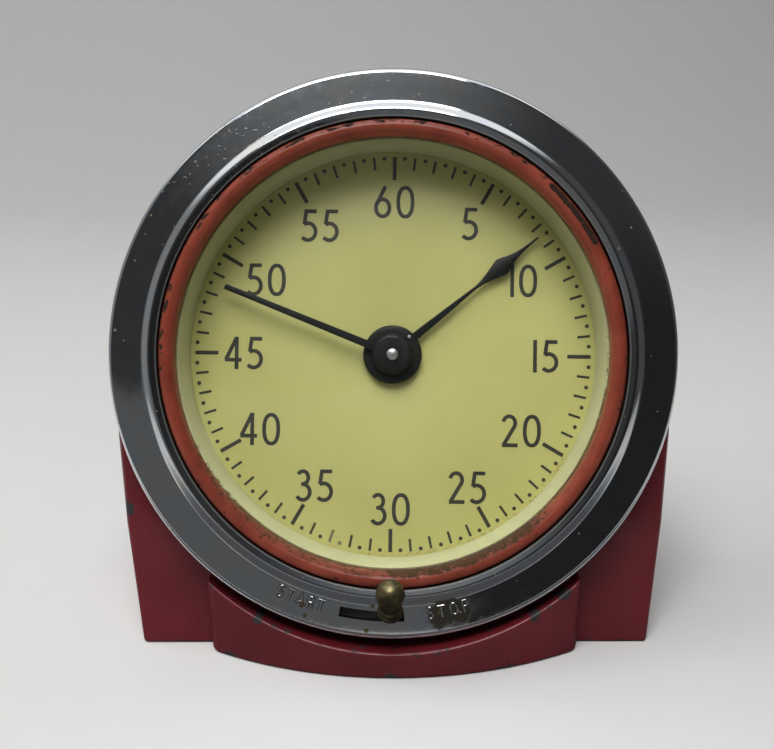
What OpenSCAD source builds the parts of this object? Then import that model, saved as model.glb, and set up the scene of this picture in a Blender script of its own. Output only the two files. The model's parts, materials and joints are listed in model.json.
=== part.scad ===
// Wind-up darkroom timer with a tilted dial in a red metal case.
// The table is z = 0, the face looks towards -Y, and the origin lies under the dial's centre.
// "Depth" below is measured from the flat band of the bezel straight into the case.

/* [Face] */
// Lean of the face back from upright, in degrees
face_tilt = 20; // [16:1:24]
// Height of the centre of the bezel's front above the table
dial_h = 64; // [62:0.5:72]
// Radius of the dial that shows inside the spacer ring
view_r = 45.2; // [42:0.2:46]
// Depth of the dial's front
dial_depth = 13; // [11:0.5:16]
// Thickness of the dial
dial_t = 0.8; // [0.5:0.1:1.5]
// Radius of the hole in the middle of the dial
dial_hole_r = 3.2; // [2.8:0.1:5]

/* [Case] */
// Thickness of the case wall
case_wall = 4.6; // [3:0.1:6]
// Width of the case at the table
foot_w = 111.5; // [108:0.5:117]
// How far the sides stand out past the round case below the bezel
side_out = 1.5; // [0:0.1:2]
// Distance of the shoulders in front of the dial's centre
shoulder_y = 11.5; // [9:0.5:13]
// Lean of the shoulders' front in degrees
shoulder_lean = 12; // [0:1:14]
// Thickness of the case's back wall
back_t = 3; // [2.5:0.25:5]
// Thickness of the case floor under the movement
floor_t = 5; // [4:0.5:6]
// Distance of the rear edge of the foot behind the dial's centre
rear_y = 44; // [42:1:56]
// Width of the rear part of the foot
rear_w = 110; // [108:0.5:111]
// Height of the rear part of the foot where it meets the back
rear_h = 14; // [10:1:16]
// Height of the rear edge of the foot
rear_edge_h = 6; // [5:0.5:9]

/* [Nose] */
// Width of the bowed nose under the bezel
nose_w = 80; // [70:1:90]
// Radius of the nose's bow in plan
nose_bow_r = 90; // [80:1:130]
// Distance of the nose's tip in front of the dial's centre
nose_y = 23.7; // [22.5:0.1:28]
// Rounding of the nose's upright corners
nose_corner_r = 3; // [1:0.5:5]
// Gap between the bezel and the nose's cradle
nose_gap = 2.3; // [1:0.1:4]

/* [Bezel] */
// Width of the bezel's flat band, from the bead to the outer edge
band_w = 7.3; // [6.6:0.1:10]
// Thickness of the bezel's sheet metal
bezel_t = 1.2; // [0.8:0.1:1.6]
// Depth of the case's front face behind the bezel's flat band
bezel_h = 6; // [5:0.25:8]
// Length by which the bezel's wall overlaps the case
bezel_lap = 1; // [0.5:0.1:2]
// Radius of the rolled rim
rim_r = 1.1; // [0.7:0.1:1.5]
// Width of the raised bead
bead_w = 3.2; // [2.4:0.1:4]
// Height of the raised bead above the flat band
bead_h = 1.9; // [1.2:0.1:2.6]
// Distance of the slot's middle from the bead
slot_in = 2.5; // [2.2:0.1:2.8]
// Width of the slot
slot_w = 2.1; // [2:0.1:2.6]
// Angle that the slot covers, in degrees
slot_sweep = 14.2; // [13:0.2:18]
// Angle of the slot's right end past the bottom of the bezel
slot_right = 2.3; // [1:0.1:4]

/* [Glass] */
// Width of the red ring that holds the glass
ring_w = 3.8; // [3:0.1:4.5]
// Height of the red ring above the flat band
ring_h = 1.2; // [0.6:0.1:1.8]
// Depth of the glass's front
glass_depth = 2.4; // [2:0.1:3]
// Thickness of the glass
glass_t = 1.6; // [1:0.1:2]
// Thickness of the spacer ring's wall at the glass
spacer_wall = 3.2; // [2.5:0.1:4]
// Widening of the spacer ring from the dial to the glass
spacer_flare = 0.7; // [0.2:0.1:1.5]

/* [Lever] */
// Lever's turn from STOP to START, in degrees
lever_travel = 9.6; // [8:0.2:10]
// Angle of the lever at rest past the bottom of the bezel
lever_rest = -0.7; // [-1:0.1:1]
// Thickness of the lever's plate
lever_t = 1; // [0.8:0.1:1.4]
// Width of the lever's stem along the slot
stem_w = 2.2; // [1.6:0.1:2.6]
// Thickness of the lever's stem across the slot
stem_t = 1.5; // [1.2:0.1:1.6]
// Radius of the knob's ball
knob_r = 2.95; // [2.7:0.05:3.3]
// Radius of the knob's foot
knob_foot_r = 2.7; // [2.3:0.1:3]
// Radius of the knob's neck
knob_neck_r = 2.5; // [2:0.1:2.6]
// Lean of the knob towards the dial, in degrees
knob_lean = 50; // [45:1:55]
// Distance between the knob's ball and foot
knob_len = 6.4; // [6:0.1:7]
// Radius of the lever's pin inside the knob
knob_pin_r = 0.7; // [0.5:0.05:0.9]
// Length of the lever's pin between its stem and the knob
knob_pin_free = 2.5; // [2.2:0.1:2.8]
// Height of the lever's stem above the bead
stem_over = 1; // [0.9:0.1:1.4]

/* [Hands] */
// Gap between the tip of the straight sweep hand and the edge of the dial
sweep_short = 5.4; // [3:0.1:8]
// Width of the sweep hand at the hub
sweep_w = 1.8; // [1.2:0.1:2.4]
// Width of the sweep hand at its tip
sweep_tip_w = 1.2; // [0.8:0.1:1.6]
// Radius of the sweep hand's hub
sweep_hub_r = 4.4; // [3.5:0.1:5]
// Reading of the sweep hand, in seconds
sweep_at = 48.75; // [0:0.05:60]
// Gap between the tip of the arrow hand and the edge of the dial
arrow_short = 3.7; // [2.5:0.1:8]
// Width of the arrow hand at the hub
arrow_w = 1.9; // [1.2:0.1:2.4]
// Width of the arrow hand just before its spade
arrow_neck_w = 0.6; // [0.4:0.1:1]
// Width of the arrow hand's spade
arrow_spade_w = 4; // [2.5:0.1:4.6]
// Width of the arrow hand where its fine point starts
arrow_point_w = 0.9; // [0.6:0.1:1.4]
// Width of the arrow hand's tip
arrow_tip_w = 0.4; // [0.2:0.05:0.5]
// Radius of the arrow hand's hub
arrow_hub_r = 6.5; // [5:0.1:7]
// Reading of the arrow hand, in minutes
arrow_at = 8.6; // [0:0.1:60]
// Thickness of the hands
hand_t = 0.5; // [0.4:0.05:0.7]
// Height of a hand's hub
hub_h = 1.8; // [1.4:0.1:2]
// Gap between the dial, the two hubs and the glass side of the arbor
hub_gap = 0.4; // [0.3:0.05:0.6]

/* [Movement] */
// Gap between the dial and the front plate
under_dial = 2.5; // [2.3:0.1:4]
// Thickness of the two plates
plate_t = 1.5; // [1.2:0.1:2]
// Space between the plates
train_h = 21; // [20:0.5:22]
// Gap between the rear plate and the case's back wall
rear_gap = 3.2; // [3:0.1:5]
// Radius of the rear plate
rear_plate_r = 42.5; // [42:0.1:43]
// Width of the ledge that carries the front plate
ledge_w = 3.1; // [2.8:0.1:4]
// Thickness of the ledge
ledge_t = 2.5; // [2:0.1:4]
// Radius of the four pillars
pillar_r = 2.2; // [1.6:0.1:2.6]
// Radius of the movement's screws
screw_r = 0.8; // [0.6:0.1:1]
// Radius of the movement's screw heads
screw_head_r = 1.5; // [1.2:0.1:1.7]
// Height of the movement's screw heads
screw_head_h = 0.9; // [0.6:0.1:1.2]
// Radius of the wheels' arbors
arbor_r = 1; // [0.8:0.05:1.1]
// Radius of the arbors' pivots
pivot_r = 0.6; // [0.5:0.05:0.7]
// Radius of the minute pipe
pipe_r = 2.2; // [2:0.05:2.4]
// Thickness of the wheels
wheel_t = 1.2; // [0.8:0.1:1.4]
// Height of the pinions
pinion_h = 2.4; // [2:0.1:2.6]

/* [Train] */
// Module of the great wheel
great_module = 0.63; // [0.6:0.005:0.64]
// Direction of the great wheel from the dial's centre, in degrees
great_dir = 160; // [156:1:164]
// Module of the centre wheel
centre_module = 0.6; // [0.58:0.005:0.62]
// Direction of the third arbor from the dial's centre, in degrees
third_dir = 25; // [20:1:30]
// Module of the fourth wheel
fourth_module = 0.55; // [0.54:0.005:0.56]
// Direction of the escape arbor from the dial's centre, in degrees
escape_dir = -50; // [-54:1:-46]
// Module of the setting wheels
set_module = 0.9; // [0.88:0.01:0.92]
// Direction of the setting arbor from the dial's centre, in degrees
set_dir = -125; // [-128:1:-122]
// Radius of the setting arbor
set_arbor_r = 1.2; // [1:0.1:1.4]

/* [Spring] */
// Radius of the wound mainspring
spring_r = 15; // [12:0.5:15.5]
// Height of the mainspring
spring_h = 6; // [4:0.5:6.5]
// Thickness of the mainspring's strip
spring_t = 0.6; // [0.4:0.05:0.8]
// Turns of the mainspring
spring_turns = 7; // [4:1:8]
// Radius of the winding arbor
wind_r = 2.5; // [2.2:0.1:2.8]
// Radius of the winding arbor behind the rear plate
wind_tail_r = 2; // [1.8:0.05:2.1]
// Radius of the ratchet wheel
ratchet_r = 6.5; // [6:0.1:7]

/* [Escapement] */
// Radius of the escape wheel
escape_r = 8; // [7:0.1:8.2]
// Distance between the escape arbor and the pallet arbor
pallet_reach = 10.4; // [10.2:0.1:11]
// Direction from the escape arbor to the pallet arbor and the balance, in degrees
pallet_dir = -136.6; // [-140:0.1:-133]
// Radius of the balance wheel
balance_r = 10; // [9:0.1:10.2]
// Gap between the balance's rim and the pallet arbor
balance_gap = 1.63; // [1.4:0.01:2.2]
// Turns of the hairspring
hair_turns = 6; // [4:1:8]
// Radius of the hairspring
hair_r = 7; // [6:0.1:7.5]

/* [Back] */
// Radius of the back cover
cover_r = 40; // [39:0.1:41]
// Thickness of the back cover
cover_t = 1.5; // [1:0.1:2]
// Width of the ledge under the back cover
cover_ledge = 4; // [3.4:0.1:4.4]
// Height of the back cover's centre above the dial's axis
cover_up = 8; // [7:0.5:9]
// Radius of the setting knob
set_knob_r = 6; // [5:0.1:7]
// Height of the setting knob
set_knob_h = 7; // [5:0.5:9]
// Width of the winding key's wing
key_w = 26; // [20:1:28]
// Thickness of the winding key's wing
key_t = 2.6; // [2:0.1:3]
// Length of the winding key's wing
key_wing_h = 13; // [10:0.5:16]
// Radius of the winding key's barrel
key_barrel_r = 4.5; // [4:0.1:5]
// Height of the winding key's barrel
key_barrel_h = 9; // [8:0.5:12]

/* [Base] */
// Thickness of the base plate
base_t = 2; // [1.6:0.1:2.6]
// Width of the base plate
base_w = 104; // [98:0.5:105]
// Distance of the base plate's edge from the front shoulders and the rear edge
base_edge = 3.5; // [3:0.25:5]
// Corner radius of the base plate
base_corner_r = 5; // [3:0.5:8]
// Radius of the base screws
base_screw_r = 1.2; // [1:0.1:1.4]
// Distance of the base screws from the base plate's edges
base_screw_in = 7; // [6:0.25:9]

/* [Fits] */
// Clearance of parts that are dropped into each other
fit = 0.2; // [0.15:0.05:0.25]
// Running clearance of shafts in their holes
run = 0.05; // [0.03:0.01:0.08]
// Clearance of parts that are fixed on a shaft
snug = 0.02; // [0.01:0.01:0.03]

/* [Hidden] */
$fn = 96;
big = 400;
eps = 0.01;
// Width and depth of the slots in the screw heads
driver_w = 0.5;
driver_deep = 0.4;

// Colours as the photo shows them
red_enamel = [0.42, 0.09, 0.13];
ring_red = [0.68, 0.27, 0.21];
chrome = [0.62, 0.63, 0.65];
cream = [0.82, 0.80, 0.55];
pale_cream = [0.80, 0.80, 0.70];
black = [0.06, 0.06, 0.06];
brass = [0.62, 0.48, 0.22];
old_brass = [0.42, 0.34, 0.18];
steel = [0.55, 0.56, 0.58];
dark_steel = [0.30, 0.31, 0.33];

// Teeth of the wheels and pinions, which set the hands' ratio of 60 to 1
great_teeth = 60;
pipe_teeth = 10;
centre_teeth = 60;
third_teeth = 64;
leaf_teeth = 8;
set_teeth = 24;
ratchet_teeth = 24;
escape_teeth = 15;

// Radii from the dial outwards
spacer_r = view_r + spacer_flare + spacer_wall;
well_r = spacer_r + fit;
ring_r = well_r;
bead_in_r = ring_r + fit;
bead_mid_r = bead_in_r + bead_w / 2;
bead_out_r = bead_in_r + bead_w;
slot_r = bead_out_r + slot_in;
bezel_r = bead_out_r + band_w;
bezel_in_r = bezel_r - bezel_t;
case_r = bezel_in_r - fit;
cradle_r = bezel_r + nose_gap;
case_bore_r = case_r - case_wall;
front_plate_r = rear_plate_r + ledge_w + 2 * fit;
plate_well_r = front_plate_r + fit;
ledge_r = plate_well_r - ledge_w;

// Depths, negative into the case
case_face = -bezel_h;
shoulder_face = case_face - bezel_lap - fit;
glass_front = -glass_depth;
glass_back = glass_front - glass_t;
dial_front = -dial_depth;
dial_back = dial_front - dial_t;
plate_front = dial_back - under_dial;
plate_back = plate_front - plate_t;
ledge_back = plate_back - ledge_t;
rear_plate_front = plate_back - train_h;
rear_plate_back = rear_plate_front - plate_t;
back_inside = rear_plate_back - rear_gap;
back_outside = back_inside - back_t;

// Heights of the wheels above the rear plate
fourth_u = 1;
third_u = 4;
spring_u = 2.8;
escape_u = 7.6;
balance_u = 4;
great_u = 10.2;
ratchet_u = great_u + wheel_t + 0.3;
centre_u = 14.4;
hair_u = 11;

// Centre distances and places of the arbors
great_at = polar((great_teeth + pipe_teeth) * great_module / 2, great_dir);
third_dist = (centre_teeth + leaf_teeth) * centre_module / 2;
third_at = polar(third_dist, third_dir);
third_module = 2 * third_dist / (third_teeth + leaf_teeth);
escape_at = polar((third_teeth + leaf_teeth) * fourth_module / 2, escape_dir);
set_at = polar(set_teeth * set_module, set_dir);
pallet_at = escape_at + polar(pallet_reach, pallet_dir);
pallet_balance = balance_r + balance_gap + arbor_r;
balance_at = pallet_at + polar(pallet_balance, pallet_dir);
balance_reach = norm(balance_at);
balance_dir = atan2(balance_at[1], balance_at[0]);
pillar_ring_r = rear_plate_r - pillar_r - 1.2;
pillar_dirs = [52, 108, 211, 317];
movement_screw_dirs = [75, 150, 225, 325];

function polar(r, a) = [r * cos(a), r * sin(a)];
function arc(r, a0, a1, n) = [for (i = [0:n]) polar(r, a0 + (a1 - a0) * i / n)];
// Angle of a driven gear whose teeth fall into the gaps of its driver
function mesh(n1, n2, a1, dir) = dir + 180 - (n1 / n2) * (a1 - dir) - 180 / n2;

// Puts children in the face's frame: x right, y up along the face, z out of it
module at_face() {
    translate([0, 0, dial_h]) rotate([90 - face_tilt, 0, 0]) children();
}

module at_depth(z) {
    at_face() translate([0, 0, z]) children();
}

// Disc between two depths of the face's frame
module face_disc(r, z0, z1) {
    at_depth(z0) cylinder(r = r, h = z1 - z0);
}

// Part of a flat ring between two angles and two depths
module face_sector(r0, r1, a0, a1, z0, z1) {
    at_depth(z0) rotate([0, 0, a0]) rotate_extrude(angle = a1 - a0)
        translate([r0, 0]) square([r1 - r0, z1 - z0]);
}

// Places children on an arbor's line at a height above the rear plate
module on_arbor(p, u) {
    at_depth(rear_plate_front + u) translate([p[0], p[1], 0]) children();
}

// Straight shaft on an arbor's line between two depths
module shaft(p, r, z0, z1) {
    at_depth(z0) translate([p[0], p[1], 0]) cylinder(r = r, h = z1 - z0, $fn = 48);
}

// Cut for a screwdriver across a screw head of radius r, down to z = deep
module driver_slot(r, deep) {
    translate([-r, -driver_w / 2, -1]) cube([2 * r, driver_w, 1 + deep]);
}

// Outline of a wheel with pointed teeth
module wheel_2d(n, m, turn) {
    pitch = PI * m;
    r = n * m / 2;
    marks = [[-0.25, -1.1], [-0.2, 0], [-0.08, 0.8], [0.08, 0.8], [0.2, 0], [0.25, -1.1]];
    polygon([for (i = [0:n - 1]) for (k = marks)
        polar(r + k[1] * m, turn + i * 360 / n + k[0] * pitch / (r + k[1] * m) * 180 / PI)]);
}

// Outline of a pinion with radial leaves
module pinion_2d(n, m, turn) {
    r = n * m / 2;
    half = 0.17 * 360 / n;
    marks = [[-half, -1.15], [-half, 0], [-half * 0.35, 0.6], [half * 0.35, 0.6], [half, 0], [half, -1.15]];
    polygon([for (i = [0:n - 1]) for (k = marks)
        polar(r + k[1] * m, turn + i * 360 / n + k[0])]);
}

// Wheel with a bore and five round openings
module wheel(n, m, turn, bore_r) {
    r = n * m / 2;
    hole_r = r * 0.21;
    linear_extrude(wheel_t) difference() {
        wheel_2d(n, m, turn);
        circle(r = bore_r);
        for (i = [0:4]) translate(polar(r * 0.56, i * 72)) circle(r = hole_r);
    }
}

// Strip wound into a flat spiral
module spiral_2d(r0, r1, turns, t) {
    n = turns * 24;
    edge = [for (i = [0:n]) [r0 + (r1 - r0) * i / n, i * 360 / 24]];
    polygon(concat(
        [for (p = edge) polar(p[0] + t / 2, p[1])],
        [for (i = [n:-1:0]) polar(edge[i][0] - t / 2, edge[i][1])]));
}

// Case

// Front view of the case along the face's axis
module case_outline(inset) {
    half_top = case_r - inset;
    drop = (dial_h + shoulder_face * sin(face_tilt)) / cos(face_tilt);
    half_low = foot_w / 2 - inset;
    circle(r = half_top);
    half_side = half_top + side_out;
    side_drop = case_r * 0.3;
    polygon([[-half_top, 0], [half_top, 0], [half_side, -side_drop], [half_low, -drop], [-half_low, -drop],
        [-half_side, -side_drop]]);
}

// Plan of the nose
module nose_plan() {
    half = nose_w / 2;
    mid_y = nose_bow_r - nose_y;
    inner_r = nose_bow_r - nose_corner_r;
    corner_x = half - nose_corner_r;
    corner_y = mid_y - sqrt(inner_r * inner_r - corner_x * corner_x);
    touch_x = corner_x * nose_bow_r / inner_r;
    intersection() {
        translate([0, mid_y]) circle(r = nose_bow_r, $fn = 180);
        translate([-touch_x, -nose_y - 1]) square([2 * touch_x, nose_y + 1]);
    }
    for (s = [-1, 1]) translate([s * corner_x, corner_y]) circle(r = nose_corner_r);
    translate([-half, corner_y]) square([nose_w, -corner_y]);
}

// Rear part of the foot, seen from the side
module rear_foot() {
    meet_v = (rear_h - dial_h - back_outside * sin(face_tilt)) / cos(face_tilt);
    meet_y = meet_v * sin(face_tilt) - back_outside * cos(face_tilt);
    rotate([90, 0, 90]) translate([0, 0, -rear_w / 2]) linear_extrude(rear_w)
        polygon([[0, 0], [rear_y, 0], [rear_y, rear_edge_h], [meet_y, rear_h], [0, rear_h]]);
}

module case_outside() {
    difference() {
        union() {
            face_disc(case_r, back_outside, case_face);
            difference() {
                at_depth(back_outside) linear_extrude(shoulder_face - back_outside) case_outline(0);
                translate([0, -shoulder_y, 0]) rotate([-shoulder_lean, 0, 0])
                    translate([-big / 2, -big, -big / 2]) cube([big, big, big]);
            }
            difference() {
                linear_extrude(dial_h / 2) nose_plan();
                face_disc(cradle_r, shoulder_face, big / 2);
            }
            rear_foot();
        }
        translate([-big / 2, -big / 2, -big]) cube([big, big, big]);
    }
}

// Space for the glass, the dial and the movement
module case_inside() {
    face_disc(well_r, dial_back, 1);
    face_disc(plate_well_r, plate_back, 1);
    face_disc(ledge_r, ledge_back - eps, 1);
    intersection() {
        face_disc(case_bore_r, back_inside, ledge_back);
        translate([-big / 2, -big / 2, floor_t]) cube([big, big, big]);
    }
}

// Hollow corners under the round case, open at the table
module corner_pockets() {
    skin = 3;
    difference() {
        at_depth(back_outside + back_t) linear_extrude(shoulder_face - skin - back_outside - back_t)
            difference() {
                case_outline(case_wall + base_lip);
                circle(r = case_bore_r + skin);
                translate([-big / 2, -case_r / 3]) square([big, big]);
            }
        translate([-big / 2, base_front() + base_lip - big, -big / 2]) cube([big, big, big]);
        for (p = base_screw_places()) translate([p[0], p[1], -big / 2])
            cylinder(r = base_screw_r + skin, h = big);
    }
}

function base_screw_places() = [for (x = [-1, 1]) for (y = [base_front() + base_screw_in,
    base_rear() - base_screw_in]) [x * (base_w / 2 - base_screw_in), y]];
function base_front() = -shoulder_y + base_edge;
function base_rear() = rear_y - base_edge;

module base_plan(grow) {
    x = base_w / 2 - base_corner_r;
    y0 = base_front() + base_corner_r;
    y1 = base_rear() - base_corner_r;
    translate([-x - base_corner_r - grow, y0]) square([2 * (x + base_corner_r + grow), y1 - y0]);
    translate([-x, y0 - base_corner_r - grow]) square([2 * x, y1 - y0 + 2 * (base_corner_r + grow)]);
    for (s = [-1, 1]) for (y = [y0, y1]) translate([s * x, y]) circle(r = base_corner_r + grow);
}

base_screw_len = 8;
// Width of the case's rim that the base plate rests on
base_lip = 2.5;
base_head_r = base_screw_r * 1.9;
base_head_h = base_t * 0.5;

module case_shell() color(red_enamel) difference() {
    case_outside();
    case_inside();
    corner_pockets();
    translate([0, 0, -1]) linear_extrude(base_t + 1) base_plan(fit);
    for (p = base_screw_places()) translate([p[0], p[1], 0])
        cylinder(r = base_screw_r + snug, h = base_screw_len + base_t, $fn = 48);
    cover_opening();
    lever_room();
    movement_screw_holes();
}

// Groove for the lever's plate, and the way in for its arm
module lever_room() {
    side = 3;
    face_sector(lever_in_r - fit, lever_out_r + fit, lever_left - lever_travel - side,
        lever_right + side, case_face - lever_t - 2 * fit, 1);
    face_sector(plate_well_r - 1, tab_r + 2 * fit, arm_left - lever_travel - side / 2,
        arm_right + side / 2, arm_back - fit, 1);
}

module base_plate() color(dark_steel) difference() {
    linear_extrude(base_t) base_plan(0);
    for (p = base_screw_places()) translate([p[0], p[1], -1]) {
        cylinder(r = base_screw_r + fit, h = base_t + 2, $fn = 48);
        cylinder(r = base_head_r + fit, h = 1 + base_head_h + fit, $fn = 48);
    }
}

module base_screws() color(steel) for (p = base_screw_places()) translate([p[0], p[1], fit]) {
    difference() {
        cylinder(r = base_head_r, h = base_head_h, $fn = 48);
        driver_slot(base_head_r, driver_deep);
    }
    cylinder(r = base_screw_r, h = base_screw_len, $fn = 48);
}

// Back cover

cover_screw_r = 0.9;
cover_head_r = 1.7;
cover_head_h = 1;
cover_open_r = cover_r - cover_ledge;

module at_cover(z) {
    at_depth(z) translate([0, cover_up, 0]) children();
}

module cover_screw_spots() {
    for (i = [0:3]) rotate([0, 0, 45 + i * 90]) translate([cover_r - cover_ledge / 2, 0, 0]) children();
}

module cover_opening() {
    at_cover(back_outside - 1) cylinder(r = cover_open_r, h = back_t + 2);
    at_cover(back_outside - 1) cylinder(r = cover_r + fit, h = cover_t + 1);
    at_cover(back_outside) cover_screw_spots() cylinder(r = cover_screw_r + snug, h = back_t + 1, $fn = 48);
}

module back_cover() color(red_enamel) difference() {
    at_cover(back_outside) cylinder(r = cover_r, h = cover_t);
    at_cover(back_outside - 1) cover_screw_spots() cylinder(r = cover_screw_r + fit, h = cover_t + 2, $fn = 48);
    shaft(great_at, wind_tail_r + fit, back_outside - 1, back_inside + 1);
    shaft(set_at, set_arbor_r + fit, back_outside - 1, back_inside + 1);
}

module cover_screws() color(steel) at_cover(back_outside) cover_screw_spots() {
    translate([0, 0, -cover_head_h]) difference() {
        cylinder(r = cover_head_r, h = cover_head_h, $fn = 48);
        driver_slot(cover_head_r, driver_deep);
    }
    cylinder(r = cover_screw_r, h = back_t, $fn = 48);
}

// Bezel, glass and dial

module bezel() color(chrome) difference() {
    at_face() rotate_extrude($fn = 180) {
        translate([bead_in_r, -bezel_t]) square([bezel_r - rim_r - bead_in_r, bezel_t]);
        translate([bezel_r - rim_r, -rim_r]) circle(r = rim_r, $fn = 48);
        translate([bezel_in_r, case_face - bezel_lap]) square([bezel_t, bezel_h + bezel_lap - rim_r]);
        translate([bead_mid_r, bead_h - bead_w / 2]) circle(r = bead_w / 2, $fn = 48);
        translate([bead_in_r, case_face]) square([bezel_t, bezel_h]);
    }
    face_sector(slot_r - slot_w / 2, slot_r + slot_w / 2, -90 + slot_right - slot_sweep,
        -90 + slot_right, -bezel_h / 2, bezel_h);
}

module glass_ring() color(ring_red) at_face() rotate_extrude($fn = 180) {
    intersection() {
        translate([ring_r - ring_w / 2, ring_h - ring_w / 2]) circle(r = ring_w / 2, $fn = 48);
        translate([ring_r - ring_w, glass_front]) square([ring_w, glass_depth + ring_h]);
    }
    translate([ring_r - ring_w, glass_front]) square([ring_w, glass_depth + ring_h - ring_w / 2]);
}

module glass() color([0.85, 0.92, 0.9, 0.3]) face_disc(spacer_r, glass_back, glass_front);

module dial_spacer_ring() color(pale_cream) at_face() rotate_extrude($fn = 180)
    polygon([[view_r, dial_front], [spacer_r, dial_front], [spacer_r, glass_back],
        [view_r + spacer_flare, glass_back]]);

module dial() color(cream) difference() {
    face_disc(spacer_r, dial_back, dial_front);
    face_disc(dial_hole_r, dial_back - 1, dial_front + 1);
}

// Start and stop lever

lever_in_r = bead_in_r + bezel_t + 2.5 * fit;
lever_out_r = bezel_in_r - 6 * fit;
lever_angle = -90 + lever_rest;
lever_right = lever_angle + 8;
lever_top = case_face - 1.5 * fit;
arm_back = plate_front + 0.7;
// The brake finger stands beside the balance at STOP
finger_r = balance_reach + balance_r * 0.75;
finger_t = 1.2;
// Angle between the finger and the balance, so that they don't touch
brake_gap = 1.8;
balance_half = acos((finger_r * finger_r + balance_reach * balance_reach
    - balance_r * balance_r) / (2 * finger_r * balance_reach));
arm_right = balance_dir - balance_half - brake_gap;
arm_left = arm_right - 3;
lever_left = arm_left - 1;
tab_r = lever_in_r + fit + lever_t;

// Section of the bent strip: down from the plate, in over the front plate, down to the balance
function arm_profile() = [
    [tab_r - lever_t, lever_top - lever_t / 2], [tab_r, lever_top - lever_t / 2], [tab_r, arm_back],
    [finger_r + finger_t / 2, arm_back], [finger_r + finger_t / 2, rear_plate_front + balance_u],
    [finger_r - finger_t / 2, rear_plate_front + balance_u], [finger_r - finger_t / 2, arm_back + lever_t],
    [tab_r - lever_t, arm_back + lever_t]];

module start_stop_lever() color(steel) {
    face_sector(lever_in_r, lever_out_r, lever_left, lever_right, lever_top - lever_t, lever_top);
    at_face() rotate([0, 0, arm_left]) rotate_extrude(angle = arm_right - arm_left) polygon(arm_profile());
    at_face() rotate([0, 0, lever_angle]) {
        translate([slot_r - stem_t / 2, -stem_w / 2, lever_top - lever_t / 2])
            cube([stem_t, stem_w, lever_t / 2 - lever_top + stem_rise]);
        at_knob() translate([0, 0, -knob_pin_free - knob_pin_root])
            cylinder(r = knob_pin_r, h = knob_pin_root + knob_pin_free + knob_pin_len, $fn = 48);
    }
}

stem_rise = bead_h + stem_over;
knob_pin_len = 2.2;
knob_pin_root = 0.5;
knob_foot_h = 1.8;

// Frame of the knob: its foot's underside, at the end of the pin that leans from the stem's top
module at_knob() {
    translate([slot_r, 0, stem_rise - stem_t / 4]) rotate([0, -knob_lean, 0]) translate([0, 0, knob_pin_free])
        children();
}

module lever_knob() color(old_brass) at_face() rotate([0, 0, lever_angle]) at_knob() difference() {
    union() {
        cylinder(r = knob_foot_r, h = knob_foot_h);
        translate([0, 0, knob_foot_h / 2]) cylinder(r = knob_neck_r, h = knob_len - knob_foot_h / 2);
        translate([0, 0, knob_len]) sphere(r = knob_r);
    }
    translate([0, 0, -1]) cylinder(r = knob_pin_r + snug, h = knob_pin_len + 1 + fit, $fn = 48);
}

// Plates, pillars and screws

module pillar_spots() {
    for (a = pillar_dirs) translate(polar(pillar_ring_r, a)) children();
}

module movement_screw_spots() {
    for (a = movement_screw_dirs) translate(polar(ledge_r + ledge_w / 2, a)) children();
}

module movement_screw_holes() {
    at_depth(ledge_back - 1) movement_screw_spots()
        cylinder(r = screw_r + snug, h = ledge_t + 2, $fn = 48);
}

module plate_holes(z) {
    for (p = [third_at, escape_at, pallet_at, balance_at]) shaft(p, pivot_r + run, z - 1, z + plate_t + 1);
    shaft(set_at, set_arbor_r + run, z - 1, z + plate_t + 1);
    at_depth(z - 1) pillar_spots() cylinder(r = screw_r + fit, h = plate_t + 2, $fn = 48);
}

module front_plate() color(brass) difference() {
    face_disc(front_plate_r, plate_back, plate_front);
    plate_holes(plate_back);
    shaft([0, 0], pipe_r + run, plate_back - 1, plate_front + 1);
    shaft(great_at, wind_tail_r + run, plate_back - 1, plate_front + 1);
    at_depth(plate_back - 1) movement_screw_spots() cylinder(r = screw_r + fit, h = plate_t + 2, $fn = 48);
    face_sector(finger_r - finger_t / 2 - 2 * fit, finger_r + finger_t / 2 + 2 * fit,
        arm_left - lever_travel - 1.5, arm_right + 1.5, plate_back - 1, plate_front + 1);
}

module rear_plate() color(brass) difference() {
    face_disc(rear_plate_r, rear_plate_back, rear_plate_front);
    plate_holes(rear_plate_back);
    shaft([0, 0], pivot_r + run, rear_plate_back - 1, rear_plate_front + 1);
    shaft(great_at, wind_tail_r + run, rear_plate_back - 1, rear_plate_front + 1);
}

pillar_screw_len = 4;

module plate_pillars() color(brass) at_depth(rear_plate_front) pillar_spots() difference() {
    cylinder(r = pillar_r, h = train_h, $fn = 48);
    for (z = [-1, train_h - pillar_screw_len]) translate([0, 0, z])
        cylinder(r = screw_r + snug, h = pillar_screw_len + 1, $fn = 48);
}

// Screw with a slotted head, pointing down from its seat
module slotted_screw(len) {
    difference() {
        cylinder(r = screw_head_r, h = screw_head_h, $fn = 48);
        translate([0, 0, screw_head_h]) rotate([180, 0, 0]) driver_slot(screw_head_r, driver_deep);
    }
    translate([0, 0, -len]) cylinder(r = screw_r, h = len + screw_head_h * 0.3, $fn = 48);
}

module pillar_screws() color(steel) {
    len = plate_t + pillar_screw_len - fit;
    at_depth(plate_front) pillar_spots() slotted_screw(len);
    at_depth(rear_plate_back) pillar_spots() rotate([180, 0, 0]) slotted_screw(len);
}

module movement_screws() color(steel) at_depth(plate_front) movement_screw_spots()
    slotted_screw(plate_t + ledge_t - fit);

// Mainspring and winding work

spring_in_r = wind_r + 2 * fit + spring_t;
post_r = 1;
post_at = great_at + polar(spring_r + spring_t / 2 + post_r + snug, great_dir);

module mainspring() color(dark_steel) on_arbor(great_at, spring_u)
    rotate([0, 0, great_dir]) linear_extrude(spring_h) spiral_2d(spring_in_r, spring_r, spring_turns, spring_t);

module spring_post() color(steel)
    shaft(post_at, post_r, rear_plate_front, rear_plate_front + spring_u + spring_h);

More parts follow.
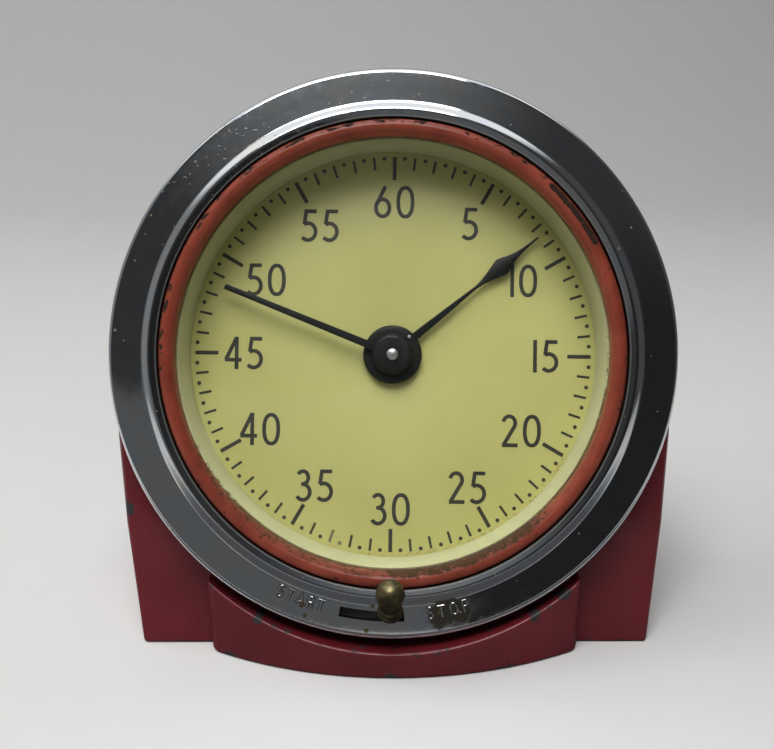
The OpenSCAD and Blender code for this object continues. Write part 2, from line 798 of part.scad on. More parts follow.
module great_wheel() color(brass) on_arbor(great_at, great_u) difference() {
    wheel(great_teeth, great_module, 0, wind_r + run);
    translate(click_at()) translate([0, 0, -1]) cylinder(r = click_pin_r + snug, h = wheel_t + 2, $fn = 48);
}

click_pin_r = 0.7;
click_eye_r = 1.5;
click_t = 1;
click_w = 2.4;
// The click rests behind this tooth, and turns on a spoke of the great wheel
click_tooth = 75;
click_dir = click_tooth + 36;
click_ring_r = ratchet_r + 2.6;
function click_at() = polar(click_ring_r, click_dir);

// Pawl over the ratchet's rim, with its tip in the gap behind a tooth
module click() color(steel) on_arbor(great_at, ratchet_u) linear_extrude(click_t) difference() {
    union() {
        translate(click_at()) circle(r = click_eye_r);
        polygon([
            polar(ratchet_r - ratchet_tooth / 2, click_tooth + 2.2),
            polar(ratchet_r + 2 * fit, click_tooth + 14),
            polar(click_ring_r - click_w / 2, click_dir - 4), polar(click_ring_r + click_w / 2, click_dir - 4),
            polar(ratchet_r + 2, click_tooth + 12), polar(ratchet_r + ratchet_tooth, click_tooth + 2)]);
    }
    translate(click_at()) circle(r = click_pin_r + run);
}

module click_screw() color(steel) on_arbor(great_at, great_u) translate(click_at()) {
    head = ratchet_u - great_u + click_t + 0.1;
    cylinder(r = click_pin_r, h = head + screw_head_h / 2, $fn = 48);
    translate([0, 0, head]) cylinder(r = screw_head_r, h = screw_head_h, $fn = 48);
}

// Bent strip over the click, held by its round foot on the next spoke
module click_spring() color(dark_steel) on_arbor(great_at, great_u + wheel_t) linear_extrude(click_t + 0.4) {
    r = click_ring_r + 0.5;
    strip_t = 0.4;
    tip_dir = click_dir - 13;
    foot_dir = click_dir - 73;
    polygon(concat(arc(r + strip_t, foot_dir, tip_dir, 12), arc(r, tip_dir, foot_dir, 12)));
    translate(polar(r + strip_t / 2, foot_dir)) circle(r = 1.1);
}

module winding_arbor() color(steel) {
    shaft(great_at, wind_tail_r, back_outside - key_gap / 2, plate_front);
    shaft(great_at, wind_r, rear_plate_front + 0.4, plate_back - 0.4);
    at_depth(back_outside - key_barrel_h) translate([great_at[0], great_at[1], 0])
        translate([-wind_square / 2, -wind_square / 2, 0]) cube([wind_square, wind_square, key_barrel_h]);
}

wind_square = wind_tail_r * 1.4;
ratchet_tooth = 0.9;

module ratchet_wheel() color(steel) on_arbor(great_at, ratchet_u) linear_extrude(wheel_t) difference() {
    polygon([for (i = [0:ratchet_teeth - 1]) for (k = [[0, ratchet_r - ratchet_tooth], [0.92, ratchet_r]])
        polar(k[1], (i + k[0]) * 360 / ratchet_teeth)]);
    circle(r = wind_r + snug);
}

key_gap = 0.8;

module winding_key() color(steel) at_depth(back_outside) translate([great_at[0], great_at[1], -key_gap])
    rotate([180, 0, 0]) difference() {
        union() {
            cylinder(r = key_barrel_r, h = key_barrel_h);
            key_wing();
        }
        translate([-wind_square / 2 - snug, -wind_square / 2 - snug, -1])
            cube([wind_square + 2 * snug, wind_square + 2 * snug, key_barrel_h - key_gap + 1 + fit]);
    }

// Flat wing with two round ears
module key_wing() {
    ear_r = key_wing_h * 0.42;
    low = key_barrel_h - 3;
    rotate([90, 0, 0]) translate([0, 0, -key_t / 2]) linear_extrude(key_t) {
        translate([-key_barrel_r, low]) square([2 * key_barrel_r, key_wing_h * 0.6]);
        for (s = [-1, 1]) translate([s * (key_w / 2 - ear_r), low + key_wing_h - ear_r]) circle(r = ear_r);
        polygon([[-key_w / 2 + ear_r, low + key_wing_h - 2 * ear_r], [0, low], [key_w / 2 - ear_r,
            low + key_wing_h - 2 * ear_r], [key_w / 2 - ear_r, low + key_wing_h], [0, low + key_wing_h * 0.6],
            [-key_w / 2 + ear_r, low + key_wing_h]]);
    }
}

// Going train

pinion_over = (pinion_h - wheel_t) / 2;
arrow_hub_low = dial_front + hub_gap;
arrow_hub_top = arrow_hub_low + hub_h;
sweep_hub_low = arrow_hub_top + hub_gap;
sweep_hub_top = sweep_hub_low + hub_h;

module minute_pipe() color(brass) difference() {
    union() {
        on_arbor([0, 0], great_u - pinion_over) linear_extrude(pinion_h)
            pinion_2d(pipe_teeth, great_module, mesh(great_teeth, pipe_teeth, 0, great_dir + 180));
        shaft([0, 0], pipe_r, rear_plate_front + great_u - pinion_over, arrow_hub_top);
    }
    shaft([0, 0], arbor_r + run, rear_plate_front, 0);
}

module centre_wheel() color(brass) on_arbor([0, 0], centre_u)
    wheel(centre_teeth, centre_module, 0, pipe_r + snug);

module set_wheel() color(brass) at_depth(set_depth) linear_extrude(set_t) difference() {
    wheel_2d(set_teeth, set_module, 0);
    circle(r = pipe_r + snug);
}

set_t = 1;
set_depth = plate_front + 0.5;

module seconds_arbor() color(steel) {
    on_arbor([0, 0], third_u - pinion_over) linear_extrude(pinion_h)
        pinion_2d(leaf_teeth, third_module, mesh(third_teeth, leaf_teeth, 0, third_dir + 180));
    shaft([0, 0], pivot_r, rear_plate_back, rear_plate_front + 1);
    shaft([0, 0], arbor_r, rear_plate_front + 0.3, sweep_hub_top + 0.5);
}

module fourth_wheel() color(brass) on_arbor([0, 0], fourth_u)
    wheel(third_teeth, fourth_module, 0, arbor_r + snug);

// Arbor between the plates with a pinion and a pivot at each end
module pinion_arbor(p, m, turn, u) {
    on_arbor(p, u - pinion_over) linear_extrude(pinion_h) pinion_2d(leaf_teeth, m, turn);
    plain_arbor(p, arbor_r);
}

module plain_arbor(p, r) {
    shaft(p, pivot_r, rear_plate_back, plate_front);
    shaft(p, r, rear_plate_front + 0.3, plate_back - 0.3);
}

module third_arbor() color(steel)
    pinion_arbor(third_at, centre_module, mesh(centre_teeth, leaf_teeth, 0, third_dir), centre_u);

module third_wheel() color(brass) on_arbor(third_at, third_u)
    wheel(third_teeth, third_module, 0, arbor_r + snug);

module escape_arbor() color(steel)
    pinion_arbor(escape_at, fourth_module, mesh(third_teeth, leaf_teeth, 0, escape_dir), fourth_u);

// Escapement

module escape_wheel() color(brass) on_arbor(escape_at, escape_u) linear_extrude(wheel_t) difference() {
    polygon([for (i = [0:escape_teeth - 1]) for (k = [[0, escape_r * 0.76], [0.42, escape_r * 0.78],
        [0.9, escape_r], [0.98, escape_r]]) polar(k[1], (i + k[0]) * 360 / escape_teeth)]);
    circle(r = arbor_r + snug);
    for (i = [0:3]) translate(polar(escape_r * 0.45, i * 90)) circle(r = escape_r * 0.17);
}

pallet_t = 1.2;
roller_pin_at = 3;
pin_r = 0.4;

module pallet_arbor() color(steel) plain_arbor(pallet_at, arbor_r);

// Anchor with two pins beside the escape wheel, and a fork towards the balance
module pallet_lever() color(steel) on_arbor(pallet_at, escape_u) rotate([0, 0, pallet_dir])
    linear_extrude(pallet_t) difference() {
        union() {
            circle(r = arbor_r + 1);
            for (s = [-1, 1]) rotate(s * 120) translate([0, -bar_w / 2]) square([anchor_reach, bar_w]);
            translate([0, -bar_w / 2]) square([fork_reach - prong_len + prong_w, bar_w]);
            for (s = [-1, 1]) translate([fork_reach - prong_len, s * bar_w - prong_w / 2])
                square([prong_len, prong_w]);
            translate([fork_reach - prong_len - prong_w / 4, -bar_w - prong_w / 2])
                square([prong_w, 2 * bar_w + prong_w]);
        }
        circle(r = arbor_r + snug);
    }

anchor_reach = 5.9;
// Width of the pallet lever's bars, and width and length of its fork's prongs
bar_w = 1.2;
prong_w = 0.8;
prong_len = 2.4;
fork_reach = pallet_balance - roller_pin_at - pin_r - 0.5;

module balance_staff() color(steel) plain_arbor(balance_at, arbor_r);

// Rim with one cross arm, and the roller with its pin above
module balance_wheel() color(brass) on_arbor(balance_at, balance_u) difference() {
    union() {
        difference() {
            cylinder(r = balance_r, h = balance_h);
            translate([0, 0, -1]) cylinder(r = balance_r - balance_rim, h = balance_h + 2);
        }
        translate([balance_rim / 2 - balance_r, -1, 0]) cube([2 * balance_r - balance_rim, 2, wheel_t]);
        cylinder(r = roller_pin_at + 2 * pin_r, h = wheel_t);
        rotate([0, 0, pallet_dir + 180]) translate([roller_pin_at, 0, wheel_t / 2])
            cylinder(r = pin_r, h = escape_u - balance_u + pallet_t - wheel_t / 2, $fn = 24);
    }
    translate([0, 0, -1]) cylinder(r = arbor_r + snug, h = balance_h + 2, $fn = 48);
}

// Height of the balance's rim and the width of its ring
balance_h = 2;
balance_rim = 1.6;
hair_t = 0.25;
hair_h = 1.2;
stud_r = 0.7;

module hairspring() color(dark_steel) on_arbor(balance_at, hair_u) linear_extrude(hair_h)
    spiral_2d(arbor_r + 2 * fit, hair_r, hair_turns, hair_t);

module hairspring_stud() color(steel)
    shaft(balance_at + [hair_r + hair_t / 2 + stud_r + snug, 0], stud_r, rear_plate_front + hair_u, plate_back);

// Setting work

module set_arbor() color(steel) shaft(set_at, set_arbor_r, set_knob_low, set_depth + set_t);

// Height of the set knob's plain base, and radius of its grip grooves
knob_base_h = 1.4;
grip_r = 0.7;
set_knob_low = back_outside - key_gap - set_knob_h * 0.7;

module set_arbor_wheel() color(brass) at_depth(set_depth) translate([set_at[0], set_at[1], 0])
    linear_extrude(set_t) difference() {
        wheel_2d(set_teeth, set_module, mesh(set_teeth, set_teeth, 0, set_dir));
        circle(r = set_arbor_r + snug);
    }

module set_knob() color(old_brass) at_depth(back_outside - key_gap) translate([set_at[0], set_at[1], 0])
    rotate([180, 0, 0]) difference() {
        cylinder(r = set_knob_r, h = set_knob_h);
        for (i = [0:17]) rotate([0, 0, i * 20]) translate([set_knob_r + fit, 0, knob_base_h])
            cylinder(r = grip_r, h = set_knob_h, $fn = 24);
        translate([0, 0, -1]) cylinder(r = set_arbor_r + snug, h = set_knob_h * 0.7 + 1, $fn = 48);
    }

// Hands

sweep_len = view_r - sweep_short;
arrow_len = view_r - arrow_short;
// Shares of the arrow hand's length at its neck, the widest part of its spade and its fine point
arrow_neck_at = 0.58;
arrow_spade_at = 0.75;
arrow_point_at = 0.84;

module minute_hand() color(black) difference() {
    union() {
        face_disc(arrow_hub_r, arrow_hub_low, arrow_hub_top);
        at_depth(arrow_hub_low + hub_h / 2) rotate([0, 0, 90 - arrow_at * 6]) linear_extrude(hand_t)
            for (s = [-1, 1]) polygon([[0, 0], [0, s * arrow_w / 2],
                [arrow_len * arrow_neck_at, s * arrow_neck_w / 2],
                [arrow_len * arrow_spade_at, s * arrow_spade_w / 2],
                [arrow_len * arrow_point_at, s * arrow_point_w / 2],
                [arrow_len, s * arrow_tip_w / 2], [arrow_len, 0]]);
    }
    face_disc(pipe_r + snug, dial_front, 0);
}

module sweep_hand() color(black) difference() {
    union() {
        face_disc(sweep_hub_r, sweep_hub_low, sweep_hub_top);
        at_depth(sweep_hub_low + hub_h / 2) rotate([0, 0, 90 - sweep_at * 6]) linear_extrude(hand_t)
            polygon([[0, -sweep_w / 2], [sweep_len, -sweep_tip_w / 2], [sweep_len, sweep_tip_w / 2],
                [0, sweep_w / 2]]);
    }
    face_disc(arbor_r + snug, dial_front, 0);
}

case_shell();
base_plate();
base_screws();
back_cover();
cover_screws();
bezel();
glass_ring();
glass();
dial_spacer_ring();
dial();
start_stop_lever();
lever_knob();
front_plate();
rear_plate();
plate_pillars();
pillar_screws();
movement_screws();
mainspring();
spring_post();
great_wheel();
click();
click_screw();
click_spring();
winding_arbor();
ratchet_wheel();
winding_key();
minute_pipe();
centre_wheel();
set_wheel();
minute_hand();
seconds_arbor();
fourth_wheel();
sweep_hand();
third_arbor();
third_wheel();
escape_arbor();
escape_wheel();
pallet_arbor();
pallet_lever();
balance_staff();
balance_wheel();
hairspring();
hairspring_stud();
set_arbor();
set_arbor_wheel();
set_knob();
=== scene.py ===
"""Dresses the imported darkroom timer: worn enamel, chrome, printed dial, hands and studio.

Sizes are millimetres in the face's frame (x right, y up along the face, z out of it)
unless a name or a docstring says otherwise. Finished meshes are in metres in the row frame.
"""

import json
import logging
import math
from dataclasses import dataclass, replace
from enum import Enum
from typing import Callable, Iterable, Optional, Sequence, Union

import bmesh
import bpy
from mathutils import Matrix, Vector


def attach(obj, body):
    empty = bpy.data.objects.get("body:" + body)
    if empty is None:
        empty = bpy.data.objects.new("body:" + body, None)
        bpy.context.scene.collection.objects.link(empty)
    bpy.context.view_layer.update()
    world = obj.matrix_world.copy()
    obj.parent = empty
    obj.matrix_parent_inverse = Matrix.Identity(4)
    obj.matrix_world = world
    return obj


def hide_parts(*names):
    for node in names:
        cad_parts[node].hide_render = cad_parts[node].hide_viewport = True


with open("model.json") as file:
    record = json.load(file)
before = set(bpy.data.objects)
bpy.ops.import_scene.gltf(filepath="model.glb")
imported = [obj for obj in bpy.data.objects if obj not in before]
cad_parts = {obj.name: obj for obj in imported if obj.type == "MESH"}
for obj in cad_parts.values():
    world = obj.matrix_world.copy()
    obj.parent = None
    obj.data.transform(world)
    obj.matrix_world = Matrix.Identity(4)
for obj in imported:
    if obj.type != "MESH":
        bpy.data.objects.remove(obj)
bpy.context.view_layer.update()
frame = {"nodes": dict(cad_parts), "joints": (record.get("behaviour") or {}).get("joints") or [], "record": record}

LOG = logging.getLogger("darkroom_timer")
MM = 0.001
TURN = 2.0 * math.pi
TINY = 1e-6
WELD_M = 2e-6
FLAT_DEGREES = 0.4
CORNER_SHARE = 0.45
MINUTE_DEGREES = 6.0

Point = tuple[float, float]
Triple = tuple[float, float, float]
Colour = tuple[float, float, float, float]
Sizes = dict[str, Union[int, float]]
Shape = bmesh.types.BMesh
Socket = bpy.types.NodeSocket
Value = Union[float, int, tuple, Socket]


class Body(str, Enum):
    """CAD bodies that dressed pieces ride on."""

    CASE = "case"
    LEVER = "lever"
    MINUTE = "minute"
    SECONDS = "seconds"
    WINDING = "winding"
    SETTING = "setting"


class Slot(str, Enum):
    """Material slots of the record."""

    RED_ENAMEL = "red_enamel"
    RING_ENAMEL = "ring_enamel"
    CHROME = "chrome_plate"
    GLASS = "clear_glass"
    DIAL = "dial_enamel"
    WALL = "wall_enamel"
    BLACK = "black_paint"
    AGED_BRASS = "aged_brass"
    BASE_BLACK = "base_black"
    BRASS = "movement_brass"
    STEEL = "bright_steel"
    BLUE_STEEL = "blue_spring_steel"


class FaceFrame:
    """The tilted face: its place in the row frame, taken from the sweep hand's joint."""

    def __init__(self, joints: Sequence[dict]) -> None:
        """Finds the face.

        Args:
            joints: The record's joints.
        """
        row = next(j for j in joints if j["name"] == "sweep_turn")
        inward = Vector(row["axis"]).normalized()
        start = Vector(row["pos_m"])
        right = Vector((1.0, 0.0, 0.0))
        out = -inward
        up = out.cross(right)
        self.origin = start - inward * (start.y / inward.y)
        self.turn = Matrix((right, up, out)).transposed()
        self.matrix = Matrix.Translation(self.origin) @ self.turn.to_4x4() @ Matrix.Scale(MM, 4)

    def at(self, x: float, y: float, z: float) -> Matrix:
        """Matrix of a frame that is shifted in the face."""
        return self.matrix @ Matrix.Translation((x, y, z))

    def behind(self, x: float, y: float, z: float) -> Matrix:
        """Matrix of a frame on the back, with its z axis out of the back."""
        return self.at(x, y, z) @ Matrix.Rotation(math.pi, 4, "X")


FACE = FaceFrame(frame["joints"])
WORLD_MM = Matrix.Scale(MM, 4)


# Outlines and meshes


def arc(centre: Point, radii: Point, start: float, end: float, steps: int = 16) -> list[Point]:
    """Points of an elliptic arc.

    Args:
        centre: Middle of the ellipse.
        radii: Half width and half height.
        start: First angle in degrees.
        end: Last angle in degrees.
        steps: Number of chords.

    Returns:
        The points from start to end.
    """
    angles = [math.radians(start + (end - start) * i / steps) for i in range(steps + 1)]
    return [(centre[0] + radii[0] * math.cos(a), centre[1] + radii[1] * math.sin(a)) for a in angles]


def fillet(points: Sequence[Point], radius: float, steps: int = 4) -> list[Point]:
    """Rounds the corners of a closed outline.

    Args:
        points: Corners in order.
        radius: Reach of the rounding along each side.
        steps: Number of chords in a corner.

    Returns:
        The rounded outline.
    """
    made: list[Point] = []
    for i, corner in enumerate(points):
        here = Vector(corner)
        back = Vector(points[i - 1]) - here
        ahead = Vector(points[(i + 1) % len(points)]) - here
        # A corner on the axis stays sharp.
        if here.x < TINY:
            made.append(tuple(here))
            continue
        reach = min(radius, CORNER_SHARE * back.length, CORNER_SHARE * ahead.length)
        first = here + back.normalized() * reach
        last = here + ahead.normalized() * reach
        for k in range(steps + 1):
            t = k / steps
            made.append(tuple(first * (1 - t) ** 2 + here * 2 * t * (1 - t) + last * t * t))
    return made


def lathe(profile: Sequence[Point], segments: int = 256) -> Shape:
    """Turns an outline round the z axis.

    Args:
        profile: Radius and height of each corner. It is a closed loop, unless it
            starts and ends on the axis.
        segments: Number of steps round the axis.

    Returns:
        A closed mesh.
    """
    made = bmesh.new()
    angles = [TURN * i / segments for i in range(segments)]
    rings = []
    for radius, height in profile:
        if radius < TINY:
            rings.append([made.verts.new((0.0, 0.0, height))])
        else:
            ring = [(radius * math.cos(a), radius * math.sin(a), height) for a in angles]
            rings.append([made.verts.new(spot) for spot in ring])
    on_axis = len(rings[0]) == 1 and len(rings[-1]) == 1
    for i in range(len(rings) - 1 if on_axis else len(rings)):
        low, high = rings[i], rings[(i + 1) % len(rings)]
        for s in range(segments):
            t = (s + 1) % segments
            corners = [low[s % len(low)], low[t % len(low)], high[t % len(high)], high[s % len(high)]]
            unique = list(dict.fromkeys(corners))
            if len(unique) > 2:
                made.faces.new(unique)
    bmesh.ops.recalc_face_normals(made, faces=made.faces[:])
    return made


def slab(outline: Sequence[Point], low: float, high: float, edge: float = 0.0) -> Shape:
    """Makes a flat plate from an outline, with its upper rim rounded.

    Args:
        outline: Corners in order.
        low: Height of the underside.
        high: Height of the top.
        edge: Width of the rounding.

    Returns:
        A closed mesh.
    """
    made = bmesh.new()
    base = made.faces.new([made.verts.new((x, y, low)) for x, y in outline])
    raised = bmesh.ops.extrude_face_region(made, geom=[base])["geom"]
    top = [v for v in raised if isinstance(v, bmesh.types.BMVert)]
    bmesh.ops.translate(made, verts=top, vec=(0.0, 0.0, high - low))
    bmesh.ops.recalc_face_normals(made, faces=made.faces[:])
    if edge > 0.0:
        rim = [e for e in made.edges if all(v.co.z > high - TINY for v in e.verts)]
        bmesh.ops.bevel(made, geom=rim, offset=edge, segments=2, profile=0.5, affect="EDGES")
    return made


def joined(meshes: Iterable[Shape]) -> Shape:
    """Puts several meshes into one and frees them."""
    made = bmesh.new()
    for part in meshes:
        held = bpy.data.meshes.new("held")
        part.to_mesh(held)
        part.free()
        made.from_mesh(held)
        bpy.data.meshes.remove(held)
    return made


def placed(part: Shape, matrix: Matrix) -> Shape:
    """Moves a mesh and returns it."""
    part.transform(matrix)
    return part


@dataclass(frozen=True)
class Stroke:
    """A line of even width, drawn flat or as a raised bead.

    Attributes:
        width: Width of the line.
        low: Height of its underside.
        high: Height of its top.
        raised: True for a round back, False for a flat print.
    """

    MITRE_LIMIT = 0.6
    LAYER = 0.002

    width: float
    low: float
    high: float
    raised: bool = False

    def section(self) -> list[Point]:
        """Cross section: offset from the line and height."""
        half = self.width / 2.0
        if self.raised:
            back = arc((0.0, 0.0), (half, self.high), 180.0, 0.0, 6)
            return [(-half, self.low)] + back + [(half, self.low)]
        return [(-half, self.low), (-half, self.high), (half, self.high), (half, self.low)]

    def draw(self, path: Sequence[Point], closed: bool = False) -> Shape:
        """Draws the line along a path.

        Args:
            path: Points of the line's middle.
            closed: True where the last point joins the first.

        Returns:
            A closed mesh.
        """
        made = bmesh.new()
        section = self.section()
        count = len(path)
        rows = []
        for i, spot in enumerate(path):
            here = Vector(spot)
            back = Vector(path[i - 1]) if closed or i > 0 else None
            ahead = Vector(path[(i + 1) % count]) if closed or i < count - 1 else None
            inward = (here - back).normalized() if back is not None else None
            onward = (ahead - here).normalized() if ahead is not None else None
            along = ((inward or onward) + (onward or inward)).normalized()
            side = Vector((-along.y, along.x))
            way = inward or onward
            lean = abs(side.dot(Vector((-way.y, way.x))))
            side = side / max(lean, self.MITRE_LIMIT)
            rows.append([made.verts.new((*(here + side * x), z)) for x, z in section])
        for i in range(count if closed else count - 1):
            first, second = rows[i], rows[(i + 1) % count]
            for k in range(len(section)):
                m = (k + 1) % len(section)
                made.faces.new((first[k], first[m], second[m], second[k]))
        if not closed:
            made.faces.new(rows[0])
            made.faces.new(rows[-1])
        bmesh.ops.recalc_face_normals(made, faces=made.faces[:])
        return made


def merged_copy(node: str) -> Shape:
    """Copies a CAD node's triangles into one joined mesh with its flat faces whole."""
    made = bmesh.new()
    made.from_mesh(frame["nodes"][node].data)
    bmesh.ops.remove_doubles(made, verts=made.verts[:], dist=WELD_M)
    flat = math.radians(FLAT_DEGREES)
    bmesh.ops.dissolve_limit(
        made, angle_limit=flat, verts=made.verts[:], edges=made.edges[:], use_dissolve_boundaries=False
    )
    return made


def everywhere(middle: Vector) -> bool:
    """Chooses every edge, wherever its middle is."""
    return True


def soften(
    shape: Shape, width: float, choose: Callable[[Vector], bool], angle: float = 28.0, segments: int = 3
) -> Shape:
    """Rounds the sharp outer edges of a mesh in metres.

    Args:
        shape: The mesh.
        width: Reach of the rounding in millimetres.
        choose: Says of an edge's middle, in metres, whether the edge is rounded.
        angle: Least turn in degrees of an edge that counts as sharp.
        segments: Number of steps in the rounding.

    Returns:
        The same mesh.
    """
    limit = math.radians(angle)
    outer = [e for e in shape.edges if e.is_manifold and e.is_convex and e.calc_face_angle() > limit]
    sharp = [e for e in outer if choose((e.verts[0].co + e.verts[1].co) / 2)]
    bmesh.ops.bevel(
        shape,
        geom=sharp,
        offset=width * MM,
        segments=segments,
        profile=0.5,
        affect="EDGES",
        clamp_overlap=False,
    )
    return shape


def in_scene(name: str, data: Optional[bpy.types.ID]) -> bpy.types.Object:
    """Adds an object with some data to the scene."""
    made = bpy.data.objects.new(name, data)
    bpy.context.scene.collection.objects.link(made)
    return made


def evaluated(made: bpy.types.Object) -> bpy.types.Mesh:
    """New mesh of an object with its modifiers applied."""
    return bpy.data.meshes.new_from_object(made.evaluated_get(bpy.context.evaluated_depsgraph_get()))


def taken_over(mesh: bpy.types.Mesh) -> Shape:
    """Turns a mesh into an editable shape and removes the mesh."""
    made = bmesh.new()
    made.from_mesh(mesh)
    bpy.data.meshes.remove(mesh)
    return made


def cut_away(shape: Shape, tool: Shape) -> Shape:
    """Cuts one mesh out of another and frees both.

    Args:
        shape: What is cut.
        tool: What is taken away.

    Returns:
        The rest of the shape.
    """
    held = []
    for part in (shape, tool):
        mesh = bpy.data.meshes.new("held")
        part.to_mesh(mesh)
        part.free()
        held.append(in_scene("held", mesh))
    modifier = held[0].modifiers.new("cut", "BOOLEAN")
    modifier.operation = "DIFFERENCE"
    modifier.solver = "EXACT"
    modifier.object = held[1]
    made = taken_over(evaluated(held[0]))
    for part in held:
        bpy.data.objects.remove(part)
    return made


@dataclass
class Piece:
    """One finished object and what it says to the frame.

    Attributes:
        name: Object's name.
        body: CAD body it rides on.
        slot: Material slot it takes its finish from. It is not used.
        material: Its material.
        replaces: CAD nodes it stands for.
        smooth: Angle in degrees above which an edge stays sharp.
        even: True where large flat faces are to look flat, with sharp inner corners between them.
    """

    INNER_SMOOTH = 24.0

    name: str
    body: Body
    slot: Slot
    material: bpy.types.Material
    replaces: tuple[str, ...] = ()
    smooth: float = 38.0
    even: bool = False

    def add(self, shape: Shape, matrix: Matrix) -> bpy.types.Object:
        """Adds a mesh to the scene as this piece.

        Args:
            shape: The mesh, freed afterwards.
            matrix: From the mesh's own frame to the row frame.

        Returns:
            The object.
        """
        outer = math.radians(self.smooth)
        inner = math.radians(self.INNER_SMOOTH) if self.even else outer
        for edge in shape.edges:
            edge.smooth = edge.calc_face_angle(math.pi) < (outer if edge.is_convex else inner)
        for face in shape.faces:
            face.smooth = True
            face.material_index = 0
        shape.transform(matrix)
        mesh = bpy.data.meshes.new(self.name)
        shape.to_mesh(mesh)
        shape.free()
        mesh.materials.append(self.material)
        return self.place(mesh)

    def add_rounded(self, width: float, choose: Callable[[Vector], bool] = everywhere) -> bpy.types.Object:
        """Adds the CAD node that this piece stands for, with its outer edges rounded.

        Args:
            width: Reach of the rounding in millimetres.
            choose: Says of an edge's middle, in metres, whether the edge is rounded.

        Returns:
            The object.
        """
        return self.add(soften(merged_copy(self.replaces[0]), width, choose), Matrix.Identity(4))

    def place(self, mesh: bpy.types.Mesh) -> bpy.types.Object:
        """Adds a mesh that is in place and ties it to the frame."""
        made = in_scene(self.name, mesh)
        if self.even:
            self.flatten(made)
        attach(made, self.body.value)
        if self.replaces:
            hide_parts(*self.replaces)
        LOG.info("%s: %d faces on %s", self.name, len(made.data.polygons), self.body.value)
        return made

    def flatten(self, made: bpy.types.Object) -> None:
        """Weighs an object's normals by area, so that its flat faces are shaded flat."""
        modifier = made.modifiers.new("even_normals", "WEIGHTED_NORMAL")
        modifier.keep_sharp = True
        rough = made.data
        made.data = evaluated(made)
        made.modifiers.remove(modifier)
        bpy.data.meshes.remove(rough)
        made.data.name = self.name


# Shader nodes


